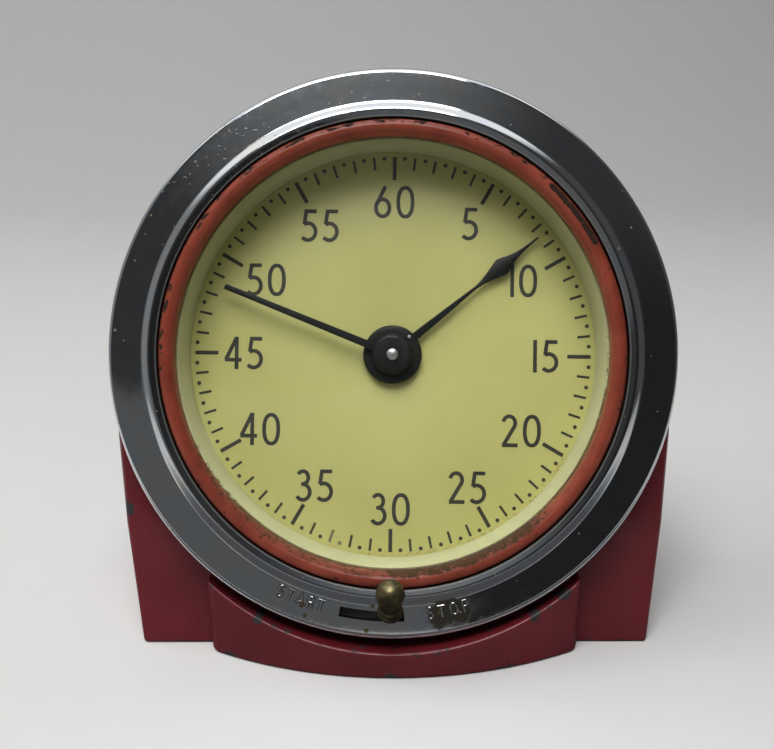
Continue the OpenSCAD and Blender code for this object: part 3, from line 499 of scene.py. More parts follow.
class NodeSheet:
    """Adds and links nodes in one tree."""

    def __init__(self, tree: bpy.types.NodeTree) -> None:
        """Takes the tree to write on."""
        self.tree = tree

    def add(self, kind: str, inputs: Optional[dict] = None, **settings: object) -> bpy.types.Node:
        """Adds a node.

        Args:
            kind: Type of the node.
            inputs: Numbers or sockets by the input's name or place.
            **settings: Properties of the node.

        Returns:
            The node.
        """
        node = self.tree.nodes.new(kind)
        for key, value in settings.items():
            setattr(node, key, value)
        for key, value in (inputs or {}).items():
            self.feed(node.inputs[key], value)
        return node

    def feed(self, entry: Socket, value: Value) -> None:
        """Links a socket to an input, or sets the input to a plain value."""
        if isinstance(value, bpy.types.NodeSocket):
            self.tree.links.new(value, entry)
        else:
            entry.default_value = value

    def calc(self, operation: str, *values: Value, clamp: bool = False) -> Socket:
        """Result of a Math node."""
        node = self.add("ShaderNodeMath", dict(enumerate(values)), operation=operation, use_clamp=clamp)
        return node.outputs[0]

    def fold(self, operation: str, values: Sequence[Value]) -> Socket:
        """Result of one operation over several values, from the first to the last."""
        made = values[0]
        for value in values[1:]:
            made = self.calc(operation, made, value)
        return made

    def times(self, *values: Value) -> Socket:
        """Product of some values."""
        return self.fold("MULTIPLY", values)

    def plus(self, *values: Value) -> Socket:
        """Sum of some values."""
        return self.fold("ADD", values)

    def most(self, *values: Value) -> Socket:
        """Largest of some values."""
        return self.fold("MAXIMUM", values)

    def flip(self, mask: Value) -> Socket:
        """What a mask leaves out."""
        return self.calc("SUBTRACT", 1.0, mask)

    def length(self, x: Socket, y: Socket) -> Socket:
        """Length of a flat vector."""
        return self.calc("SQRT", self.plus(self.times(x, x), self.times(y, y)))

    def step(self, value: Value, low: float, high: float) -> Socket:
        """Smooth step from 0 at low to 1 at high."""
        inputs = {"Value": value, "From Min": low, "From Max": high}
        return self.add("ShaderNodeMapRange", inputs, interpolation_type="SMOOTHSTEP").outputs[0]

    def span(self, value: Value, low: float, high: float) -> Socket:
        """Value from low to high as another value goes from 0 to 1."""
        return self.add("ShaderNodeMapRange", {"Value": value, "To Min": low, "To Max": high}).outputs[0]

    def mix(self, share: Value, first: Value, second: Value) -> Socket:
        """Colour between two colours."""
        node = self.add("ShaderNodeMix", {0: share, 6: first, 7: second}, data_type="RGBA")
        return node.outputs[2]

    def noise(self, vector: Socket, scale: Value, detail: float = 3.0, rough: float = 0.55) -> Socket:
        """Value of a noise texture."""
        inputs = {"Vector": vector, "Scale": scale, "Detail": detail, "Roughness": rough}
        return self.add("ShaderNodeTexNoise", inputs).outputs[0]

    def millimetres(self, shift: Triple = (0.0, 0.0, 0.0), turn: Triple = (0.0, 0.0, 0.0)) -> Socket:
        """Object coordinates in millimetres, turned and then shifted."""
        inputs = {"Vector": self.add("ShaderNodeTexCoord").outputs["Object"], "Scale": (1.0 / MM,) * 3}
        inputs |= {"Location": shift, "Rotation": turn}
        return self.add("ShaderNodeMapping", inputs, vector_type="POINT").outputs[0]

    def face_millimetres(self) -> Socket:
        """Object coordinates in millimetres of the face's frame."""
        back = FACE.turn.transposed()
        return self.millimetres(tuple((back @ FACE.origin) * (-1.0 / MM)), tuple(back.to_euler("XYZ")))

    def row_millimetres(self) -> Socket:
        """Object coordinates in millimetres of the row frame."""
        return self.millimetres()

    def parts(self, vector: Socket) -> tuple[Socket, Socket, Socket]:
        """The three numbers of a vector."""
        node = self.add("ShaderNodeSeparateXYZ", {0: vector})
        return node.outputs[0], node.outputs[1], node.outputs[2]

    def polar(self, vector: Socket) -> tuple[Socket, Socket]:
        """Radius and angle in degrees in the plane of the face."""
        x, y, _ = self.parts(vector)
        return self.length(x, y), self.calc("DEGREES", self.calc("ARCTAN2", y, x))

    def near(self, value: Socket, middle: float, inner: float, outer: float) -> Socket:
        """Mask of 1 within inner of a middle value, fading to 0 at outer."""
        away = self.calc("ABSOLUTE", self.calc("SUBTRACT", value, middle))
        return self.flip(self.step(away, inner, outer))

    def spot(self, vector: Socket, x: float, y: float, inner: float, outer: float) -> Socket:
        """Round mask about a point of the face."""
        px, py, _ = self.parts(vector)
        far = self.length(self.calc("SUBTRACT", px, x), self.calc("SUBTRACT", py, y))
        return self.flip(self.step(far, inner, outer))

    def group(self, tree: bpy.types.NodeTree, inputs: dict[str, Value]) -> Socket:
        """First output of a shared effect."""
        return self.add("ShaderNodeGroup", inputs, node_tree=tree).outputs[0]


class Effects:
    """Shader groups that several finishes share."""

    def __init__(self) -> None:
        """Builds the groups."""
        self.speck_tree = self._speck_tree()
        self.chip_tree = self._chip_tree()
        self.mottle_tree = self._mottle_tree()

    def specks(self, sheet: NodeSheet, vector: Socket, scale: float, size: float, share: Value) -> Socket:
        """Mask of round specks in a share of the cells of a scale."""
        inputs = {"Vector": vector, "Scale": scale, "Size": size, "Share": share}
        return sheet.group(self.speck_tree, inputs)

    def chips(self, sheet: NodeSheet, vector: Socket, scale: float, guide: Socket, amount: float) -> Socket:
        """Mask of ragged chips where a guide mask is high."""
        inputs = {"Vector": vector, "Scale": scale, "Guide": guide, "Amount": amount}
        return sheet.group(self.chip_tree, inputs)

    def mottle(self, sheet: NodeSheet, vector: Socket, scale: float, contrast: float) -> Socket:
        """Soft uneven patches from 0 to 1."""
        return sheet.group(self.mottle_tree, {"Vector": vector, "Scale": scale, "Contrast": contrast})

    @staticmethod
    def _start(name: str, numbers: dict[str, float]) -> tuple[NodeSheet, bpy.types.Node, bpy.types.Node]:
        """Starts a group with a vector, some numbers and one output.

        Args:
            name: Name of the group.
            numbers: Named inputs and their first values.

        Returns:
            The sheet, the group's input node and its output node.
        """
        tree = bpy.data.node_groups.new(name, "ShaderNodeTree")
        tree.interface.new_socket("Vector", in_out="INPUT", socket_type="NodeSocketVector")
        for key, value in numbers.items():
            made = tree.interface.new_socket(key, in_out="INPUT", socket_type="NodeSocketFloat")
            made.default_value = value
        tree.interface.new_socket("Mask", in_out="OUTPUT", socket_type="NodeSocketFloat")
        sheet = NodeSheet(tree)
        return sheet, sheet.add("NodeGroupInput"), sheet.add("NodeGroupOutput")

    def _speck_tree(self) -> bpy.types.NodeTree:
        """Builds scattered round specks of uneven size."""
        sheet, entry, leave = self._start("specks", {"Scale": 1.0, "Size": 0.2, "Share": 0.3})
        inputs = {"Vector": entry.outputs["Vector"], "Scale": entry.outputs["Scale"]}
        cells = sheet.add("ShaderNodeTexVoronoi", inputs)
        chance, bulk, _ = sheet.parts(cells.outputs["Color"])
        kept = sheet.calc("LESS_THAN", chance, entry.outputs["Share"])
        size = sheet.times(entry.outputs["Size"], sheet.span(bulk, 0.4, 1.0))
        far = sheet.calc("DIVIDE", cells.outputs["Distance"], size)
        inside = sheet.calc("SUBTRACT", 1.0, far, clamp=True)
        soft = sheet.step(inside, 0.0, 0.35)
        sheet.feed(leave.inputs[0], sheet.times(soft, kept))
        return sheet.tree

    def _chip_tree(self) -> bpy.types.NodeTree:
        """Builds ragged chips where a guide mask is high."""
        sheet, entry, leave = self._start("chips", {"Scale": 0.5, "Guide": 0.0, "Amount": 0.5})
        broad = sheet.noise(entry.outputs["Vector"], entry.outputs["Scale"], 6.0, 0.68)
        reach = sheet.times(entry.outputs["Guide"], entry.outputs["Amount"])
        sheet.feed(leave.inputs[0], sheet.step(sheet.plus(broad, reach), 0.82, 0.86))
        return sheet.tree

    def _mottle_tree(self) -> bpy.types.NodeTree:
        """Builds soft uneven patches from 0 to 1."""
        sheet, entry, leave = self._start("mottle", {"Scale": 0.1, "Contrast": 1.0})
        cloud = sheet.noise(entry.outputs["Vector"], entry.outputs["Scale"], 5.0, 0.6)
        middle = sheet.calc("SUBTRACT", cloud, 0.5)
        spread = sheet.times(middle, sheet.times(entry.outputs["Contrast"], 2.2))
        sheet.feed(leave.inputs[0], sheet.calc("ADD", spread, 0.5, clamp=True))
        return sheet.tree


class MaterialSheet(NodeSheet):
    """A material with one Principled shader."""

    def __init__(self, name: str) -> None:
        """Starts the material."""
        self.material = bpy.data.materials.new(name)
        self.material.use_nodes = True
        super().__init__(self.material.node_tree)
        self.tree.nodes.clear()
        self.shader = self.add("ShaderNodeBsdfPrincipled")
        self.add("ShaderNodeOutputMaterial", {"Surface": self.shader.outputs[0]})

    def set(self, **values: Value) -> None:
        """Feeds the shader's inputs, named with underscores for spaces."""
        for key, value in values.items():
            self.feed(self.shader.inputs[key.replace("_", " ")], value)

    def bump(self, height: Socket, depth: float, strength: float = 1.0) -> None:
        """Raises the surface by a height of 0 to 1 times a depth in millimetres."""
        inputs = {"Height": height, "Distance": depth * MM, "Strength": strength}
        self.feed(self.shader.inputs["Normal"], self.add("ShaderNodeBump", inputs).outputs[0])


# Finishes


@dataclass(frozen=True)
class RedEnamel:
    """Crimson enamel of the case, chipped to dark metal along its edges."""

    paint: Colour = (0.172, 0.0165, 0.0235, 1.0)
    deep: Colour = (0.112, 0.009, 0.014, 1.0)
    bare: Colour = (0.036, 0.036, 0.038, 1.0)
    cradle_r: float = 62.3
    nose_start: float = -12.2
    shoulder_y: float = -11.5
    side_x: float = 56.8
    side_y: float = -5.0
    lip_knocks: tuple[Point, ...] = ((-61.6, 2.1), (-54.8, 2.6), (-117.2, 1.4))
    sole_knocks: tuple[Point, ...] = ((-0.4, 2.6), (24.0, 1.7), (-35.5, 2.0))
    side_knock: Point = (30.0, 2.6)

    def build(self, effects: Effects) -> bpy.types.Material:
        """Makes the material."""
        s = MaterialSheet("red_enamel")
        row = s.row_millimetres()
        face = s.face_millimetres()
        radius, angle = s.polar(face)
        x, y, z = s.parts(row)
        on_nose = s.flip(s.step(y, self.nose_start - 0.5, self.nose_start))
        lip = s.times(s.near(radius, self.cradle_r + 0.5, 0.5, 1.7), on_nose)
        sole = s.flip(s.step(z, 0.6, 2.4))
        side = s.near(s.calc("ABSOLUTE", x), self.side_x, 0.7, 2.2)
        corner = s.times(s.near(y, self.shoulder_y, 0.6, 1.8), side)
        edges = s.most(lip, sole, corner)
        worn = effects.chips(s, row, 0.33, edges, 0.235)
        knocks = effects.specks(s, row, 0.055, 0.085, 0.24)
        ragged = s.step(s.plus(knocks, s.span(s.noise(row, 1.6), -0.25, 0.25)), 0.45, 0.55)
        bare = s.most(worn, s.times(ragged, s.step(knocks, 0.05, 0.2)))
        crumbs = s.span(s.noise(row, 0.6, 6.0, 0.72), -1.5, 1.5)
        lip_line = s.times(s.near(radius, self.cradle_r + 0.4, 0.2, 1.5), on_nose)
        sole_line = s.times(s.near(z, 0.4, 0.2, 1.6), on_nose)
        side_line = s.times(s.near(x, -self.side_x - 1.6, 0.8, 2.4), s.near(y, self.side_y, 0.8, 2.4))
        knocked = [(lip_line, angle, *knock) for knock in self.lip_knocks]
        knocked += [(sole_line, x, *knock) for knock in self.sole_knocks]
        knocked.append((side_line, z, *self.side_knock))
        for line, way, middle, reach in knocked:
            guide = s.times(line, s.near(way, middle, 0.0, reach))
            here = s.times(s.step(s.plus(guide, crumbs), 0.40, 0.52), s.step(guide, 0.05, 0.2))
            bare = s.most(bare, here)
        cloud = effects.mottle(s, row, 0.045, 1.0)
        paint = s.mix(cloud, self.deep, self.paint)
        s.set(Base_Color=s.mix(bare, paint, self.bare))
        rub = s.span(effects.mottle(s, row, 0.3, 1.2), 0.26, 0.44)
        s.set(Roughness=s.plus(rub, s.times(bare, 0.25)), Specular_IOR_Level=0.4)
        s.set(Coat_Weight=0.12, Coat_Roughness=0.16)
        skin = s.times(s.noise(row, 1.1, 2.0), 0.25)
        s.bump(s.calc("SUBTRACT", skin, bare), 0.07, 0.6)
        return s.material


@dataclass(frozen=True)
class RingEnamel:
    """Orange-red enamel of the glass ring, with dark chips and rust low on the right."""

    paint: Colour = (0.31, 0.060, 0.032, 1.0)
    deep: Colour = (0.19, 0.032, 0.017, 1.0)
    chip: Colour = (0.026, 0.013, 0.008, 1.0)
    rust: Colour = (0.070, 0.036, 0.016, 1.0)
    inner_r: float = 46.1
    chip_r: float = 48.7
    top_turn: float = 120.0
    foot_turn: float = -105.0
    rust_turn: float = -70.0
    gash: Point = (27.0, 47.0)
    gash_r: float = 48.1

    def build(self, effects: Effects) -> bpy.types.Material:
        """Makes the material."""
        s = MaterialSheet("ring_enamel")
        face = s.face_millimetres()
        radius, angle = s.polar(face)
        upper = s.span(s.near(angle, self.top_turn, 55.0, 95.0), 0.72, 1.0)
        rim = s.times(s.near(radius, self.chip_r, 0.55, 1.15), upper)
        worn = effects.chips(s, face, 0.42, rim, 0.305)
        gash_from, gash_to = self.gash
        middle, half = (gash_from + gash_to) / 2, (gash_to - gash_from) / 2
        gash = s.near(angle, middle, half - 2.0, half + 1.0)
        gash = s.times(gash, s.near(radius, self.gash_r, 0.45, 0.85))
        crumbs = s.span(s.noise(face, 0.8, 5.0, 0.7), -1.5, 1.5)
        worn = s.most(worn, s.step(s.plus(gash, crumbs), 0.5, 0.6))
        pits = effects.specks(s, face, 0.9, 0.24, 0.06)
        foot = s.times(s.near(angle, self.foot_turn, 40.0, 75.0), 0.62)
        low = s.most(s.near(angle, self.rust_turn, 16.0, 34.0), foot)
        inside = s.flip(s.step(radius, self.inner_r + 0.2, self.inner_r + 2.1))
        reach = s.times(inside, low, 0.37)
        eaten = s.plus(reach, s.times(s.noise(face, 0.8, 8.0, 0.85), 1.25))
        rusty = s.step(eaten, 0.84, 0.96)
        cloud = effects.mottle(s, face, 0.16, 1.0)
        chipped = s.most(worn, pits)
        colour = s.mix(chipped, s.mix(cloud, self.deep, self.paint), self.chip)
        s.set(Base_Color=s.mix(rusty, colour, self.rust))
        hurt = s.most(chipped, rusty)
        s.set(Roughness=s.span(hurt, 0.36, 0.95), Coat_Weight=s.span(hurt, 0.06, 0.0), Coat_Roughness=0.2)
        s.set(Specular_IOR_Level=0.3)
        s.bump(s.calc("SUBTRACT", s.times(s.noise(face, 2.5), 0.3), hurt), 0.06, 0.6)
        return s.material


@dataclass(frozen=True)
class ChromePlate:
    """Polished chrome with pits, a worn patch beside STOP, rust spots, painted shade and a painted highlight.

    Attributes:
        blue: Colour of clean plate.
        tan: Colour of plate that is a little stained.
        pit: Colour of the pits.
        worn: Colour of the worn patch.
        rust: Colour of the rust spots.
        grime: Colour of the painted shade in the corner inside the ridge.
        rubbed: Colour of the painted highlight on the lower rim.
        pitted: Place, inner and outer reach of the area with most pits.
        worn_at: Angle and reach in degrees of the worn patch.
        worn_r: Radius of the worn patch's middle.
        rust_at: Place and reach of each rust spot.
        raised_z: Heights from which the raised words are free of the worn patch.
        corner_r: Radii over which the painted shade ends.
        rim_r: Radii over which the painted highlight begins.
        rim_z: Heights over which the painted highlight begins.
        rim_y: Places up the face over which the painted highlight ends.
        scratch_grain: Scale of the scratches along the three axes.
        scratch_turn: Angle of the scratches in radians.
    """

    blue: Colour = (0.54, 0.58, 0.635, 1.0)
    tan: Colour = (0.60, 0.595, 0.57, 1.0)
    pit: Colour = (0.20, 0.178, 0.125, 1.0)
    worn: Colour = (0.17, 0.150, 0.115, 1.0)
    rust: Colour = (0.065, 0.046, 0.020, 1.0)
    grime: Colour = (0.022, 0.019, 0.014, 1.0)
    rubbed: Colour = (0.78, 0.79, 0.81, 1.0)
    pitted: tuple[float, ...] = (-30.0, 48.0, 8.0, 46.0)
    worn_at: Point = (-78.0, 7.5)
    worn_r: float = 55.6
    rust_at: tuple[Triple, ...] = (
        (-19.2, -52.6, 1.5), (-18.6, -54.9, 1.1), (-5.7, -58.0, 1.0), (-4.4, -53.0, 0.9), (9.6, -54.4, 0.8)
    )
    raised_z: Point = (0.05, 0.12)
    corner_r: Point = (49.6, 49.9)
    rim_r: Point = (59.4, 59.6)
    rim_z: Point = (-1.2, -0.9)
    rim_y: Point = (-28.0, -6.0)
    scratch_grain: Triple = (0.35, 5.0, 1.0)
    scratch_turn: float = 0.9

    def build(self, effects: Effects) -> bpy.types.Material:
        """Makes the material."""
        s = MaterialSheet("chrome_plate")
        face = s.face_millimetres()
        radius, angle = s.polar(face)
        _, y, z = s.parts(face)
        upper_left = s.spot(face, *self.pitted)
        fine = effects.specks(s, face, 0.85, 0.21, s.span(upper_left, 0.05, 0.62))
        broad = effects.specks(s, face, 0.36, 0.16, s.span(upper_left, 0.07, 0.5))
        edge = s.times(s.span(s.noise(face, 2.2, 4.0, 0.7), -0.9, 0.9), s.step(broad, 0.0, 0.3))
        pits = s.step(s.plus(s.most(fine, broad), edge), 0.3, 0.6)
        ragged = s.span(s.noise(face, 0.35, 6.0, 0.7), -1.1, 1.1)
        turn, reach = self.worn_at
        stain = s.times(s.near(angle, turn, 2.0, reach), s.near(radius, self.worn_r, 1.0, 4.4))
        patch = s.times(s.step(s.plus(stain, ragged), 0.40, 0.62), s.step(stain, 0.02, 0.25))
        patch = s.times(patch, s.flip(s.step(z, *self.raised_z)))
        crumbs = s.span(s.noise(face, 1.1, 5.0, 0.7), -0.55, 0.55)
        spots = [s.spot(face, x_at, y_at, 0.0, far) for x_at, y_at, far in self.rust_at]
        rust = s.most(*[s.step(s.plus(spot, crumbs), 0.42, 0.60) for spot in spots])
        cloud = effects.mottle(s, face, 0.13, 1.6)
        colour = s.mix(cloud, self.tan, self.blue)
        colour = s.mix(pits, colour, self.pit)
        colour = s.mix(patch, colour, self.worn)
        # Painted shade: the corner inside the ridge is darkened to the dark tone and made less metallic.
        uneven = s.plus(radius, s.span(s.noise(face, 0.6), -0.1, 0.1))
        corner = s.flip(s.step(uneven, *self.corner_r))
        colour = s.mix(corner, colour, self.grime)
        # Painted highlight: the lower rim gets a pale, less metallic colour in place of a bright reflection.
        rim = s.times(s.step(radius, *self.rim_r), s.step(z, *self.rim_z), s.flip(s.step(y, *self.rim_y)))
        colour = s.mix(rim, colour, self.rubbed)
        s.set(Base_Color=s.mix(rust, colour, self.rust))
        # From here on the rust mask also carries the corner's painted shade, for metal, roughness and bumps.
        rust = s.most(rust, corner)
        bare = s.most(pits, rust, s.times(rim, 0.8))
        s.set(Metallic=s.span(bare, 1.0, 0.15))
        dull = effects.mottle(s, face, 0.45, 1.3)
        haze = s.plus(s.span(dull, 0.04, 0.10), s.times(dull, upper_left, 0.055))
        hurt = s.most(bare, s.times(patch, 0.45))
        s.set(Roughness=s.plus(haze, s.times(hurt, 0.45)))
        grain = {"Vector": face, "Scale": self.scratch_grain, "Rotation": (0.0, 0.0, self.scratch_turn)}
        streaks = s.add("ShaderNodeMapping", grain).outputs[0]
        scratch = s.step(s.noise(streaks, 1.0, 4.0, 0.7), 0.66, 0.74)
        lines = s.times(scratch, upper_left, 0.5)
        s.bump(s.flip(s.most(rust, lines)), 0.03, 0.5)
        return s.material


@dataclass(frozen=True)
class ClearGlass:
    """Flat clear glass."""

    tint: Colour = (0.985, 0.99, 0.975, 1.0)

    def build(self, effects: Effects) -> bpy.types.Material:
        """Makes the material."""
        s = MaterialSheet("clear_glass")
        smear = effects.mottle(s, s.face_millimetres(), 0.12, 1.4)
        s.set(Base_Color=self.tint, Transmission_Weight=1.0, IOR=1.5, Roughness=s.span(smear, 0.0, 0.035))
        return s.material


@dataclass(frozen=True)
class DialEnamel:
    """Yellowed cream paint of the dial, with age spots and stains low on it."""

    cream: Colour = (0.478, 0.466, 0.168, 1.0)
    aged: Colour = (0.440, 0.424, 0.143, 1.0)
    stain: Colour = (0.27, 0.175, 0.06, 1.0)
    edge_r: float = 45.2
    low_turn: float = -62.0
    rubbed_at: Point = (-13.5, -41.5)

    def build(self, effects: Effects) -> bpy.types.Material:
        """Makes the material."""
        s = MaterialSheet("dial_enamel")
        face = s.face_millimetres()
        radius, angle = s.polar(face)
        cloud = effects.mottle(s, face, 0.05, 1.2)
        spots = effects.specks(s, face, 0.16, 0.055, 0.42)
        rim = s.step(radius, self.edge_r - 3.2, self.edge_r)
        rim = s.times(rim, s.near(angle, self.low_turn, 30.0, 62.0))
        dust = s.step(s.plus(s.times(rim, 0.3), s.noise(face, 1.1, 6.0, 0.7)), 0.78, 0.95)
        rubbed = s.spot(face, *self.rubbed_at, 0.5, 4.5)
        rubbed = s.times(rubbed, s.step(s.noise(face, 0.9, 5.0), 0.45, 0.65))
        mark = s.most(s.times(spots, 0.7), s.times(dust, 0.8), s.times(rubbed, 0.25))
        colour = s.mix(mark, s.mix(cloud, self.aged, self.cream), self.stain)
        s.set(Base_Color=colour, Roughness=s.span(cloud, 0.40, 0.52))
        s.bump(s.noise(face, 1.4, 4.0), 0.02, 0.4)
        return s.material


@dataclass(frozen=True)
class WallEnamel:
    """Pale cream paint of the spacer ring, grimy where it meets the glass ring."""

    cream: Colour = (0.49, 0.495, 0.292, 1.0)
    aged: Colour = (0.42, 0.42, 0.24, 1.0)
    grime: Colour = (0.12, 0.082, 0.035, 1.0)
    glass_depth: float = -4.0
    low_turn: float = -75.0

    def build(self, effects: Effects) -> bpy.types.Material:
        """Makes the material."""
        s = MaterialSheet("wall_enamel")
        face = s.face_millimetres()
        _, angle = s.polar(face)
        depth = s.parts(face)[2]
        cloud = effects.mottle(s, face, 0.11, 1.0)
        top = s.near(depth, self.glass_depth, 0.15, 0.9)
        low = s.near(angle, self.low_turn, 40.0, 90.0)
        reach = s.plus(s.times(top, s.span(low, 0.10, 0.42)), s.noise(face, 1.0, 6.0, 0.7))
        dirt = s.step(reach, 0.66, 0.80)
        colour = s.mix(dirt, s.mix(cloud, self.aged, self.cream), self.grime)
        s.set(Base_Color=colour, Roughness=s.span(cloud, 0.42, 0.56))
        s.bump(s.noise(face, 1.6, 4.0), 0.02, 0.4)
        return s.material


@dataclass(frozen=True)
class BlackPaint:
    """Semi-gloss black paint with faint rubs.

    Attributes:
        name: Material's name.
        paint: Colour of the paint.
        rub: Colour where it is worn by rubbing.
        rough: Least and most roughness.
        wear: Share of the surface that is worn by rubbing.
        shine: Strength of its reflections.
    """

    name: str = "black_paint"
    paint: Colour = (0.006, 0.008, 0.007, 1.0)
    rub: Colour = (0.035, 0.037, 0.033, 1.0)
    rough: Point = (0.34, 0.52)
    wear: float = 0.10
    shine: float = 0.28

    def build(self, effects: Effects) -> bpy.types.Material:
        """Makes the material."""
        s = MaterialSheet(self.name)
        row = s.row_millimetres()
        rubs = effects.specks(s, row, 1.3, 0.22, self.wear)
        cloud = effects.mottle(s, row, 0.5, 1.2)
        s.set(Base_Color=s.mix(rubs, self.paint, self.rub), Roughness=s.span(cloud, *self.rough))
        s.set(Specular_IOR_Level=self.shine)
        s.bump(s.noise(row, 3.0, 3.0), 0.015, 0.4)
        return s.material


@dataclass(frozen=True)
class PrintInk:
    """Dark olive ink of the dial's marks, faded where the dial is worn by rubbing."""

    ink: Colour = (0.016, 0.016, 0.012, 1.0)
    faded: Colour = (0.20, 0.19, 0.10, 1.0)
    rubbed_at: Point = (-13.0, -41.5)

    def build(self, effects: Effects) -> bpy.types.Material:
        """Makes the material."""
        s = MaterialSheet("dial_ink")
        face = s.face_millimetres()
        rubbed = s.spot(face, *self.rubbed_at, 1.0, 4.0)
        rubbed = s.times(rubbed, s.step(s.noise(face, 0.9, 5.0), 0.35, 0.6))
        thin = s.times(effects.mottle(s, face, 0.7, 1.3), 0.06)
        pale = s.most(s.times(rubbed, 0.75), thin)
        s.set(Base_Color=s.mix(pale, self.ink, self.faded), Roughness=0.55)
        return s.material


@dataclass(frozen=True)
class Metal:
    """Bare metal with tarnish in patches and fine turning or brushing lines.

    Attributes:
        name: Material's name.
        bright: Colour of the clean metal.
        dull: Colour of its tarnish.
        tarnish: Level above which tarnish shows, lower for more of it.
        rough: Roughness of clean and of tarnished metal.
        patch: Scale of the patches of tarnish.
        blend: Half the range of levels over which tarnish sets in.
        grain: Scale of the fine lines along the three axes.
    """

    name: str
    bright: Colour
    dull: Colour
    tarnish: float = 0.55
    rough: Point = (0.22, 0.45)
    patch: float = 0.28
    blend: float = 0.25
    grain: Triple = (0.4, 0.4, 6.0)

    def build(self, effects: Effects) -> bpy.types.Material:
        """Makes the material."""
        s = MaterialSheet(self.name)
        row = s.row_millimetres()
        lines = s.add("ShaderNodeMapping", {"Vector": row, "Scale": self.grain}).outputs[0]
        fine = s.noise(lines, 1.0, 3.0)
        cloud = effects.mottle(s, row, self.patch, 1.3)
        aged = s.step(cloud, self.tarnish - self.blend, self.tarnish + self.blend)
        s.set(Base_Color=s.mix(aged, self.bright, self.dull), Metallic=s.span(aged, 1.0, 0.82))
        s.set(Roughness=s.plus(s.span(aged, *self.rough), s.span(fine, -0.06, 0.06)))
        s.bump(fine, 0.008, 0.4)
        return s.material


class Finishes:
    """Every finish, by the record's slot."""

    def __init__(self) -> None:
        """Builds the shared effects and the materials."""
        effects = Effects()
        made: dict[Slot, object] = {
            Slot.RED_ENAMEL: RedEnamel(),
            Slot.RING_ENAMEL: RingEnamel(),
            Slot.CHROME: ChromePlate(),
            Slot.GLASS: ClearGlass(),
            Slot.DIAL: DialEnamel(),
            Slot.WALL: WallEnamel(),
            Slot.BLACK: BlackPaint(),
            Slot.BASE_BLACK: BlackPaint(
                "base_black", (0.022, 0.022, 0.023, 1.0), rough=(0.55, 0.75), wear=0.05
            ),
            Slot.AGED_BRASS: Metal(
                "aged_brass",
                bright=(0.20, 0.165, 0.08, 1.0),
                dull=(0.055, 0.052, 0.027, 1.0),
                tarnish=0.42,
                rough=(0.36, 0.52),
            ),
            Slot.BRASS: Metal(
                "movement_brass",
                bright=(0.70, 0.53, 0.25, 1.0),
                dull=(0.56, 0.41, 0.18, 1.0),
                tarnish=0.7,
                rough=(0.28, 0.40),
                patch=0.1,
                blend=0.45,
            ),
            Slot.STEEL: Metal(
                "bright_steel",
                bright=(0.56, 0.57, 0.58, 1.0),
                dull=(0.47, 0.46, 0.44, 1.0),
                tarnish=0.7,
                rough=(0.34, 0.42),
                patch=0.1,
                blend=0.45,
            ),
            Slot.BLUE_STEEL: Metal(
                "blue_spring_steel",
                bright=(0.12, 0.14, 0.22, 1.0),
                dull=(0.16, 0.12, 0.10, 1.0),
                tarnish=0.6,
            ),
        }
        self.by_slot = {slot: finish.build(effects) for slot, finish in made.items()}
        self.ink = PrintInk().build(effects)

    def __getitem__(self, slot: Slot) -> bpy.types.Material:
        """Material of a slot."""
        return self.by_slot[slot]


# Repeats


